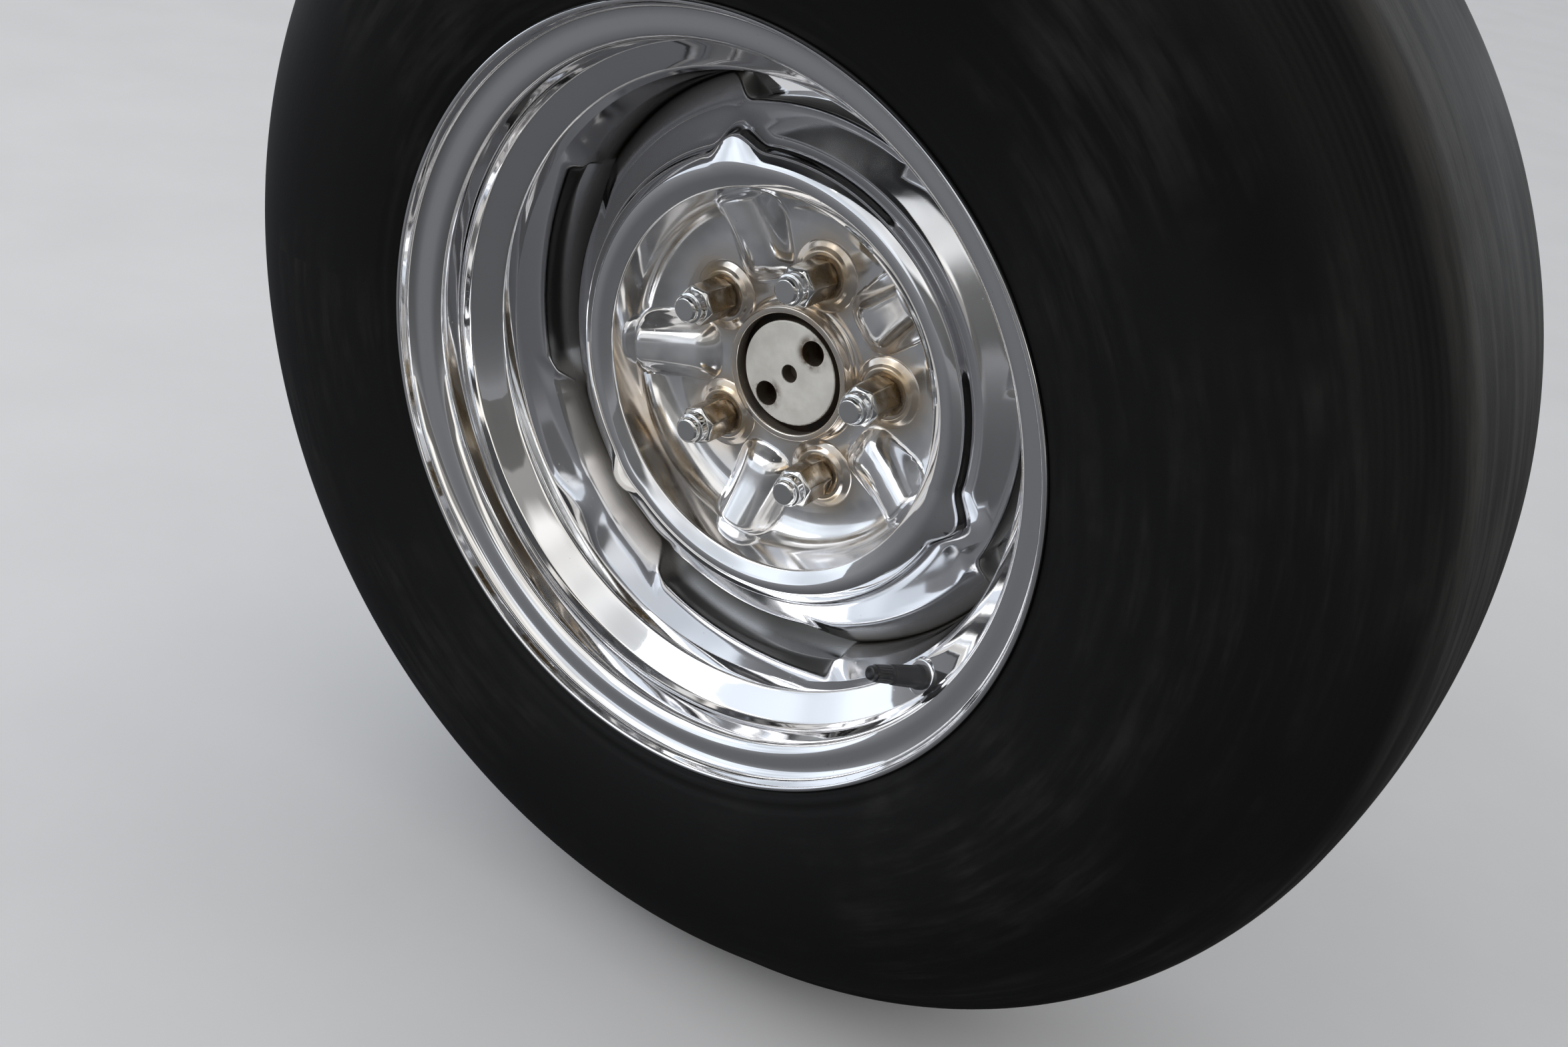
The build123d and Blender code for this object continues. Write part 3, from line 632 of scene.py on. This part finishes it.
def make_stem(material):
    """The valve's rubber stem, with a wider foot and a waist under the cap."""
    pad, end = VALVE_PAD_HEIGHT, VALVE_CAP_START
    stem = turned_on_valve("valve_stem_dressed", rounded([
        (0.01, pad - 2.0, 0), (VALVE_BASE_RADIUS - 0.4, pad - 2.0, 0), (VALVE_BASE_RADIUS, pad, 0.3),
        (VALVE_BASE_RADIUS, pad + 1.6, 0.6), (VALVE_BASE_RADIUS - 0.7, pad + 4.0, 2.0),
        (VALVE_BASE_RADIUS - 0.9, pad + 11.0, 3.0), (VALVE_CAP_RADIUS + 0.5, end - 2.2, 0.6),
        (VALVE_CAP_RADIUS - 0.3, end - 1.0, 0.4), (VALVE_CAP_RADIUS - 0.6, end + 0.5, 0),
        (0.01, end + 0.6, 0),
    ], 3, 4), material)
    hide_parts("valve_stem")
    return stem


def cap_ribs(height, turn):
    """The grip ribs of the valve's cap, cut into its middle."""
    low = smooth_step(VALVE_CAP_START + 1.0, VALVE_CAP_START + 2.4, height)
    inside = low * (1 - smooth_step(VALVE_LENGTH - 4.5, VALVE_LENGTH - 3.4, height))
    return -VALVE_CAP_RIB_DEPTH * inside * (0.5 + 0.5 * cos(VALVE_CAP_RIBS * turn)) ** 2


def make_cap(material):
    """The valve's ribbed cap."""
    start, tip = VALVE_CAP_START, VALVE_LENGTH
    cap = turned_on_valve("valve_cap_dressed", rounded([
        (0.01, start - 0.3, 0), (VALVE_CAP_RADIUS - 0.3, start - 0.3, 0), (VALVE_CAP_RADIUS, start, 0.25),
        (VALVE_CAP_RADIUS, start + 1.4, 0.2), (VALVE_CAP_RADIUS - 0.25, tip - 4.2, 0.6),
        (VALVE_CAP_RADIUS - 0.9, tip - 3.2, 0.6), (VALVE_CAP_RADIUS - 1.2, tip - 0.6, 1.2),
        (VALVE_CAP_RADIUS - 2.4, tip - 0.3, 0.8), (0.01, tip - 0.7, 0),
    ], 5, 4), material, cap_ribs)
    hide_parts("valve_cap")
    return cap


def make_flat(material):
    """The small pressed flat that the valve stands on."""
    pad = VALVE_PAD_HEIGHT
    corners = [(0.01, -2.4, 0), (9.0, -2.4, 0), (11.6, -1.6, 1.0), (9.4, pad, 1.6), (0.01, pad, 0)]
    return turned_on_valve("valve_flat", rounded(corners, 4, 6), material)


# Tyre
def tangent_arc(start, end, heading, steps):
    """Points of an arc from a start with a set heading, without the start, and the heading at its end."""
    head_r, head_d = heading
    chord_r, chord_d, length = way(start, end)
    bend = 2 * atan2(head_r * chord_d - head_d * chord_r, head_r * chord_r + head_d * chord_d)
    radius = length / (2 * sin(bend / 2)) if abs(bend) > 1e-6 else 1e9
    points = []
    for k in range(1, steps + 1):
        turn = bend * k / steps
        along, across = radius * sin(turn), radius * (1 - cos(turn))
        r = start[0] + along * head_r - across * head_d
        d = start[1] + along * head_d + across * head_r
        points.append((r, d))
    return points, (head_r * cos(bend) - head_d * sin(bend), head_r * sin(bend) + head_d * cos(bend))


def line_depth(radius, place, width, depth):
    """How deep a round-bottomed line in the sidewall is at a radius."""
    return depth * max(0.0, 1 - ((radius - place) / width) ** 2) ** 2


def tyre_outside():
    """The outside of the tyre's outboard half, from the rim's lip to the tread's middle."""
    bulge = (TYRE_RADIUS - 97.0, -TYRE_BULGE)
    upper = (TYRE_RADIUS - 64.0, -5.0)
    shoulder = (TYRE_RADIUS - 34.0, 17.0)
    edge = (TYRE_RADIUS - 5.5, 44.5)
    tread_start = (TYRE_RADIUS - 3.1, 60.0)
    middle = (TYRE_RADIUS, RIM_WIDTH / 2)
    low_wall, _ = tangent_arc(bulge, (LIP_RADIUS + 0.3, 2.0), (-1.0, 0.0), 40)
    high_wall, heading = tangent_arc(bulge, upper, (1.0, 0.0), 14)
    top_wall, heading = tangent_arc(upper, shoulder, heading, 14)
    brow, _ = tangent_arc(shoulder, edge, heading, 18)
    tread, _ = tangent_arc(middle, tread_start, (0.0, -1.0), 10)
    # The brow's last points make way for an arc that turns into the tread
    brow = brow[:-5]
    turn_in, _ = tangent_arc(brow[-1], tread_start, way(brow[-2], brow[-1])[:2], 10)
    points = list(reversed(low_wall)) + [bulge] + high_wall + top_wall + brow + turn_in
    points += list(reversed(tread[:-1])) + [middle]
    return [(r, d + sum(line_depth(r, *line) for line in SIDEWALL_LINES)) for r, d in points]


def make_tyre(material):
    """The slick's carcass: bead, bulging sidewall with moulded lines, rounded shoulder and plain tread."""
    outside = tyre_outside()
    outline = outside + mirrored(reversed(outside[:-1]))
    outline += mirrored(reversed(TYRE_INSIDE[1:])) + TYRE_INSIDE
    piece = lathe("slick_tyre", outline, TYRE_TURNS, material)
    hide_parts("tyre")
    return piece


# A short way to build materials
def new_material(name):
    """An empty node material, a function that sets its shader, and one that adds nodes."""
    material = bpy.data.materials.new(name)
    material.use_nodes = True
    tree = material.node_tree
    tree.nodes.clear()
    output = tree.nodes.new("ShaderNodeOutputMaterial")
    shader = tree.nodes.new("ShaderNodeBsdfPrincipled")
    tree.links.new(shader.outputs[0], output.inputs["Surface"])

    def set_shader(**inputs):
        fill(tree, shader, {key.replace("_", " "): value for key, value in inputs.items()})

    return material, set_shader, adder(tree)


def spread(add, value, low, high, to_low=0.0, to_high=1.0):
    """A value brought smoothly from one range to another."""
    names = {"Value": value, "From Min": low, "From Max": high, "To Min": to_low, "To Max": to_high}
    return add("ShaderNodeMapRange", names, interpolation_type="SMOOTHSTEP").outputs[0]


def cloud(add, point, scale, detail=3.0, roughness=0.55):
    """Even noise over a piece."""
    names = {"Vector": point, "Scale": scale, "Detail": detail, "Roughness": roughness}
    return add("ShaderNodeTexNoise", names).outputs["Fac"]


def blend(add, share, a, b):
    """Two colours mixed, each given as numbers or as a socket."""
    node = add("ShaderNodeMix", data_type="RGBA")
    tree = node.id_data
    for index, value in ((0, share), (6, a), (7, b)):
        if isinstance(value, bpy.types.NodeSocket):
            tree.links.new(value, node.inputs[index])
        elif index:
            node.inputs[index].default_value = (*value, 1)
        else:
            node.inputs[index].default_value = value
    return node.outputs[2]


def object_point(add):
    """The point on the object."""
    return add("ShaderNodeTexCoord").outputs["Object"]


def length_of(add, a, b):
    """The length of a pair of values that stand square to each other."""
    return sums(add, "SQRT", sums(add, "MULTIPLY_ADD", a, a, times(add, b, b)))


def axes_of(add, point):
    """A point's three axes."""
    return add("ShaderNodeSeparateXYZ", {0: point}).outputs


def radius_of(add, axes):
    """The distance from the axle."""
    return length_of(add, axes[0], axes[2])


def angle_of(add, axes):
    """The angle about the axle."""
    return sums(add, "ARCTAN2", axes[2], axes[0])


def by_depth(add, axes, start, end):
    """0 to 1 from one depth to another, in millimetres from the outer lip."""
    return spread(add, axes[1], LIP_Y + start * MM, LIP_Y + end * MM)


def by_radius(add, radius, start, end, full=1.0):
    """0 to a full value from one distance to another, in millimetres."""
    return spread(add, radius, start * MM, end * MM, 0.0, full)


def round_axle(add, axes, radius, angle, turn_share):
    """A point in which noise is drawn out round the axle."""
    return add("ShaderNodeCombineXYZ", {0: radius, 1: axes[1], 2: times(add, angle, turn_share)}).outputs[0]


def bumped(add, height, strength, distance):
    """A normal from a height."""
    return add("ShaderNodeBump", {"Height": height, "Strength": strength, "Distance": distance}).outputs[0]


# Plated steel
def from_nearest_lug(add, radius, angle):
    """The distance from the nearest lug's axis."""
    fold = sums(add, "PINGPONG", sums(add, "SUBTRACT", angle, LUG_ANGLE - 2 * pi), pi / LUG_COUNT)
    along = sums(add, "SUBTRACT", times(add, radius, sums(add, "COSINE", fold)), LUG_PLACE * MM)
    return length_of(add, along, times(add, radius, sums(add, "SINE", fold)))


def bowl_stain(add, axes, radius, angle, patch):
    """How brown the bowl is: in patches round the lugs and the collar."""
    near_lug = by_radius(add, from_nearest_lug(add, radius, angle), 34, 14)
    near_collar = by_radius(add, radius, 52, 40, 0.7)
    near = sums(add, "MAXIMUM", near_lug, near_collar)
    stain = times(add, near, spread(add, patch, 0.32, 0.66, 0.40, 0.95))
    return times(add, stain, by_depth(add, axes, 80, 98))


def well_dirt(add, axes, radius):
    """How dirty the plate is: deep in the rim's well and on its inboard side."""
    well = by_radius(add, radius, WELL_RADIUS - 1.8, WELL_RADIUS - 0.6)
    well = times(add, by_depth(add, axes, 82, 112), well)
    return sums(add, "MAXIMUM", by_depth(add, axes, 150, 200), well)


def pitted(add, point):
    """Small round spots in loose groups."""
    cells = add("ShaderNodeTexVoronoi", {"Vector": point, "Scale": 230.0}).outputs["Distance"]
    return times(add, spread(add, cells, 0.15, 0.07), spread(add, cloud(add, point, 30.0), 0.55, 0.66))


def make_chrome():
    """Plated steel: faint lines round the rim, waves in the pressed bowl, spots, haze, stain and dirt."""
    material, set_shader, add = new_material("chrome_plate")
    point = object_point(add)
    axes = axes_of(add, point)
    radius, angle = radius_of(add, axes), angle_of(add, axes)
    patch = cloud(add, point, 38.0, 4.0, 0.6)
    bowl = by_radius(add, radius, CROWN_INNER + 4.6, CROWN_INNER - 7.4)
    on_rim = by_radius(add, radius, SLOPE_RADIUS - 10, SLOPE_RADIUS + 10)
    stain = bowl_stain(add, axes, radius, angle, patch)
    dirty = well_dirt(add, axes, radius)
    spots = pitted(add, point)
    dull_ring = by_radius(add, radius, SKIRT_RADIUS - 0.8, SKIRT_RADIUS + 5.2)
    dull_ring = times(add, dull_ring, by_radius(add, radius, WELL_RADIUS - 1.6, WELL_RADIUS - 3.1))

    rough = spread(add, patch, 0.35, 0.75, 0.030, 0.058)
    rough = sums(add, "MULTIPLY_ADD", spots, 0.22, rough)
    rough = sums(add, "MULTIPLY_ADD", times(add, bowl, patch), 0.15, rough)
    rough = sums(add, "MULTIPLY_ADD", stain, 0.10, rough)
    rough = sums(add, "MULTIPLY_ADD", times(add, dull_ring, patch), 0.11, rough)
    rough = sums(add, "MAXIMUM", rough, times(add, dirty, 0.42))

    colour = blend(add, stain, PLATE, PLATE_STAIN)
    colour = blend(add, times(add, spots, 0.35), colour, PLATE_SPOT)
    dirt = blend(add, cloud(add, point, 22.0, 5.0), DIRT_DARK, DIRT_PALE)
    colour = blend(add, dirty, colour, dirt)

    rings = cloud(add, round_axle(add, axes, radius, angle, 0.002), 150.0, 2.0, 0.5)
    waves = cloud(add, point, 30.0, 1.5)
    height = sums(add, "MULTIPLY_ADD", times(add, waves, bowl), 3.0, times(add, waves, 0.35))
    height = sums(add, "MULTIPLY_ADD", times(add, rings, on_rim), 0.08, height)

    film = times(add, bowl, spread(add, patch, 0.3, 0.7, 0.05, 0.22))
    metal = sums(add, "SUBTRACT", 1.0, film)
    set_shader(Base_Color=colour, Metallic=metal, Roughness=rough, Normal=bumped(add, height, 0.10, 0.0009))
    return material


# Other finishes
def make_nut_plate():
    """Thin plate on the nuts: bright cap, and an olive brown painted reflection on the flanks."""
    material, set_shader, add = new_material("nut_plate")
    point = object_point(add)
    patch = cloud(add, point, 110.0, 4.0, 0.6)
    flank = by_depth(add, axes_of(add, point), NUT_CAP_DEPTH + 9.8, NUT_CAP_DEPTH + 12.0)
    # Painted reflection: olive brown on the hex flanks in patches, which are also rougher
    flank_reflection = times(add, flank, spread(add, patch, 0.25, 0.60, 0.55, 1.0))
    colour = blend(add, flank_reflection, NUT_BRIGHT, NUT_FLANK_REFLECTION)
    rough = sums(add, "MULTIPLY_ADD", flank_reflection, 0.16, spread(add, patch, 0.35, 0.7, 0.05, 0.14))
    set_shader(Base_Color=colour, Metallic=1.0, Roughness=rough, Normal=bumped(add, patch, 0.12, 0.0004))
    return material


def make_rubber():
    """Matt tyre rubber: moulded rings by the shoulder, drag marks round the wall, and a tread made lighter
    partly by scuffing and partly by painted sheen.
    """
    material, set_shader, add = new_material("tyre_rubber")
    point = object_point(add)
    axes = axes_of(add, point)
    radius, angle = radius_of(add, axes), angle_of(add, axes)
    patch = cloud(add, point, 9.0, 5.0, 0.6)
    grain = cloud(add, point, 650.0, 2.0)
    streak = cloud(add, round_axle(add, axes, radius, angle, 0.030), 120.0, 4.0, 0.6)
    rings = sums(add, "SINE", times(add, radius, SHOULDER_RING_RATE))
    shoulder = by_radius(add, radius, 330, 352)
    tread = by_radius(add, radius, 360, 371)

    # Scuffing and painted sheen: the tread lighter in streaks drawn out round the axle
    scuff_and_sheen = times(add, tread, spread(add, streak, 0.40, 0.66, 0.25, 1.0))
    dust = times(add, spread(add, patch, 0.42, 0.72), spread(add, streak, 0.40, 0.70))
    colour = blend(add, dust, RUBBER_CLEAN, RUBBER_DUSTY)
    colour = blend(add, scuff_and_sheen, colour, RUBBER_SCUFF_AND_SHEEN)
    height = sums(add, "MULTIPLY_ADD", rings, times(add, shoulder, 0.45), grain)
    height = sums(add, "MULTIPLY_ADD", streak, 1.6, height)
    set_shader(Base_Color=colour, Roughness=spread(add, patch, 0.3, 0.7, 0.50, 0.62))
    set_shader(Specular_IOR_Level=0.16, Normal=bumped(add, height, 0.25, 0.00025))
    return material


def make_black(name, colour, rough_low, rough_high, scale):
    """Black rubber or plastic with a faint grain."""
    material, set_shader, add = new_material(name)
    point = object_point(add)
    patch = cloud(add, point, scale, 4.0)
    tone = blend(add, spread(add, patch, 0.4, 0.7), colour, tuple(2.2 * c for c in colour))
    rough = spread(add, patch, 0.3, 0.7, rough_low, rough_high)
    set_shader(Base_Color=tone, Roughness=rough, Normal=bumped(add, cloud(add, point, 1500.0), 0.2, 0.0001))
    return material


def near_axle_hole(add, point):
    """How near a point is to one of the two holes in the axle's face."""
    flat = add("ShaderNodeVectorMath", {0: point, 1: (1.0, 0.0, 1.0)}, operation="MULTIPLY").outputs[0]
    offs = []
    for turn in AXLE_HOLE_ANGLES:
        centre = (AXLE_HOLE_PLACE * MM * cos(turn), 0.0, AXLE_HOLE_PLACE * MM * sin(turn))
        offs.append(add("ShaderNodeVectorMath", {0: flat, 1: centre}, operation="DISTANCE").outputs["Value"])
    return by_radius(add, sums(add, "MINIMUM", *offs), 12.5, 7.2)


def make_turned_steel():
    """Turned steel: tool rings on the end face, pale and dry outboard, with brown stain in its holes."""
    material, set_shader, add = new_material("turned_steel")
    point = object_point(add)
    axes = axes_of(add, point)
    patch = cloud(add, point, 60.0, 5.0, 0.65)
    rings = sums(add, "SINE", times(add, radius_of(add, axes), TOOL_RING_RATE))
    outer_face = by_depth(add, axes, AXLE_FACE_DEPTH + 0.4, AXLE_FACE_DEPTH - 0.4)
    stain = times(add, near_axle_hole(add, point), spread(add, patch, 0.42, 0.62))

    face = blend(add, spread(add, patch, 0.3, 0.7), STEEL_FACE_DULL, STEEL_FACE_PALE)
    colour = blend(add, outer_face, blend(add, patch, STEEL_DARK, STEEL_PALE), face)
    colour = blend(add, stain, colour, STEEL_STAIN)
    height = sums(add, "MULTIPLY_ADD", patch, 6.0, rings)
    metal = spread(add, outer_face, 0.0, 1.0, 0.8, 0.25)
    set_shader(Base_Color=colour, Metallic=metal, Roughness=spread(add, patch, 0.3, 0.7, 0.42, 0.58))
    set_shader(Normal=bumped(add, height, 0.16, 0.00012))
    return material


def make_iron():
    """Cast iron: dark brown scale with lighter rust in patches."""
    material, set_shader, add = new_material("cast_iron")
    point = object_point(add)
    patch = cloud(add, point, 34.0, 6.0, 0.65)
    colour = blend(add, spread(add, patch, 0.38, 0.68), IRON_SCALE, IRON_RUST)
    set_shader(Base_Color=colour, Metallic=0.25, Roughness=spread(add, patch, 0.3, 0.7, 0.62, 0.85))
    set_shader(Normal=bumped(add, cloud(add, point, 420.0, 3.0), 0.5, 0.0004))
    return material


def make_paint():
    """Black brake paint, chipped and dusty towards its edge."""
    material, set_shader, add = new_material("brake_paint")
    point = object_point(add)
    radius = radius_of(add, axes_of(add, point))
    patch = cloud(add, point, 48.0, 5.0, 0.6)
    dusty = times(add, by_radius(add, radius, 70, 150), spread(add, patch, 0.35, 0.65))
    colour = blend(add, dusty, PAINT_BLACK, PAINT_DUSTY)
    chip = spread(add, cloud(add, point, 120.0, 3.0), 0.70, 0.73)
    colour = blend(add, chip, colour, PAINT_CHIP)
    set_shader(Base_Color=colour, Roughness=spread(add, patch, 0.3, 0.7, 0.38, 0.7))
    set_shader(Normal=bumped(add, patch, 0.15, 0.0005))
    return material


def dress(names, material):
    """Gives CAD nodes a finish."""
    for name in names:
        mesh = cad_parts[name].data
        mesh.materials.clear()
        mesh.materials.append(material)


# Stage and light
def sheet_of(name, corners, near_colour, far_colour, rough, right_shade_share=1.0):
    """One flat stage surface: a colour near the wheel, a share of it to the right as painted shade, and
    another far off.
    """
    mesh = bpy.data.meshes.new(name)
    mesh.from_pydata(corners, [], [tuple(range(len(corners)))])
    surface = bpy.data.objects.new(name, mesh)
    bpy.context.scene.collection.objects.link(surface)
    material, set_shader, add = new_material(name)
    point = object_point(add)
    away = add("ShaderNodeVectorMath", {0: point}, operation="LENGTH").outputs["Value"]
    sideways = axes_of(add, point)[0]
    # Painted shade: darker to the right
    right_shade_colour = tuple(right_shade_share * c for c in near_colour)
    tone = blend(add, spread(add, sideways, -0.5, 0.5), near_colour, right_shade_colour)
    tone = blend(add, spread(add, away, 0.7, 7.0), tone, far_colour)
    darker = blend(add, cloud(add, point, 6.0, 4.0), (1.0, 1.0, 1.0), (0.90, 0.90, 0.90))
    mixed = add("ShaderNodeVectorMath", {0: tone, 1: darker}, operation="MULTIPLY").outputs[0]
    set_shader(Base_Color=mixed, Roughness=rough)
    mesh.materials.append(material)
    return surface


def level_square(height):
    """The corners of a wide level square at a height."""
    return [(x * GROUND_REACH, y * GROUND_REACH, height) for x, y in ((-1, -1), (1, -1), (1, 1), (-1, 1))]


def make_stage():
    """The pale ground, and a dark cloth and flag that only glossy reflections see; the flag is painted
    shade, and the cloth is darker to the right as painted shade.
    """
    sheet_of("floor", level_square(GROUND_Z), FLOOR_PALE, FLOOR_PALE, 0.8)
    on_ground = level_square(GROUND_Z + CLOTH_RAISED)
    # The cloth is darker to the right, as painted shade
    cloth = sheet_of("dark_cloth", on_ground, CLOTH_NEAR, CLOTH_FAR, 0.9, CLOTH_RIGHT_SHADE)
    half, front = FLAG_HALF_WIDTH, LIP_Y - FLAG_FROM_LIP
    lower = [(-half, front, FLAG_LOW), (half, front, FLAG_LOW)]
    upper = [(half, front, FLAG_HIGH), (-half, front, FLAG_HIGH)]
    # A dark sheet of painted shade in front of and above the wheel, seen only in reflections
    flag = sheet_of("shade_flag", lower + upper, FLAG_SHADE, FLAG_SHADE, 0.9)
    for card in (cloth, flag):
        card.visible_camera = False
        card.visible_diffuse = False
        card.visible_shadow = False
        card.visible_transmission = False


def dark_band(add, bearing, height, left, right, top, strength):
    """How much a band of sky is darkened, between two soft ends and under a soft top."""
    across = times(add, spread(add, bearing, *left), spread(add, bearing, *right))
    return times(add, across, spread(add, height, *top, 0.0, strength))


def make_sky():
    """A pale soft sky with broad patches, and two dark bands low on the camera's side."""
    world = bpy.data.worlds.new("studio")
    bpy.context.scene.world = world
    world.use_nodes = True
    tree = world.node_tree
    add = adder(tree)
    way_out = add("ShaderNodeTexCoord").outputs["Generated"]
    sides = {0: way_out, 1: SKY_WARM_SIDE.normalized()}
    warm = add("ShaderNodeVectorMath", sides, operation="DOT_PRODUCT").outputs["Value"]
    tint = blend(add, spread(add, warm, -0.2, 0.9), SKY_COOL, SKY_WARM)

    right, deep, height = axes_of(add, way_out)
    level = spread(add, height, 0.0, 0.62, 1.25, 1.0)
    patches = spread(add, cloud(add, way_out, 2.2, 2.0), 0.36, 0.62, 0.74, 1.12)
    bearing = sums(add, "ARCTAN2", right, times(add, deep, -1.0))
    narrow = dark_band(add, bearing, height, (0.27, 0.36), (1.02, 0.88), (0.52, 0.42), 0.72)
    broad = dark_band(add, bearing, height, (-0.10, 0.04), (1.35, 1.15), (0.27, 0.21), 0.88)
    bright = sums(add, "SUBTRACT", 1.0, sums(add, "MAXIMUM", narrow, broad))
    level = times(add, times(add, level, patches), bright)
    background = tree.nodes["Background"]
    tree.links.new(tint, background.inputs["Color"])
    tree.links.new(level, background.inputs["Strength"])


def make_lamp():
    """One large soft lamp, up and to the left behind the camera."""
    data = bpy.data.lights.new("soft_lamp", "AREA")
    data.shape = "RECTANGLE"
    data.size = LAMP_WIDTH
    data.size_y = LAMP_HEIGHT
    data.energy = LAMP_POWER
    lamp = bpy.data.objects.new("soft_lamp", data)
    lamp.location = LAMP_PLACE
    lamp.rotation_euler = LAMP_AIM.to_track_quat("-Z", "Y").to_euler()
    bpy.context.scene.collection.objects.link(lamp)


bpy.context.scene.view_settings.view_transform = "Standard"
make_camera()
make_stage()
make_sky()
make_lamp()

chrome = make_chrome()
nut_plate = make_nut_plate()
rubber = make_rubber()
valve_rubber = make_black("valve_rubber", VALVE_RUBBER, 0.42, 0.6, 60.0)
valve_plastic = make_black("valve_plastic", VALVE_PLASTIC, 0.30, 0.45, 90.0)
turned_steel = make_turned_steel()
iron = make_iron()
paint = make_paint()

lug_ring = ring_of_copies()
plated = [make_rim(chrome), make_wheel_centre(chrome)]
plated += [make_seats(lug_ring, chrome), make_nuts(lug_ring, nut_plate)]
stem = make_stem(valve_rubber)
cap = make_cap(valve_plastic)
flat = make_flat(chrome)
tyre = make_tyre(rubber)
for piece in plated + [flat, stem, cap, tyre]:
    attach(piece, "wheel")

dress(["axle_shaft", "bearing_inner_race", "bearing_outer_race", "lock_ring"], turned_steel)
dress(["brake_drum", "retainer_plate", "wheel_cylinder", "bleeder_screw"], iron)
dress(["backing_plate"], paint)
dress([f"wheel_stud_{k}" for k in range(1, LUG_COUNT + 1)], turned_steel)
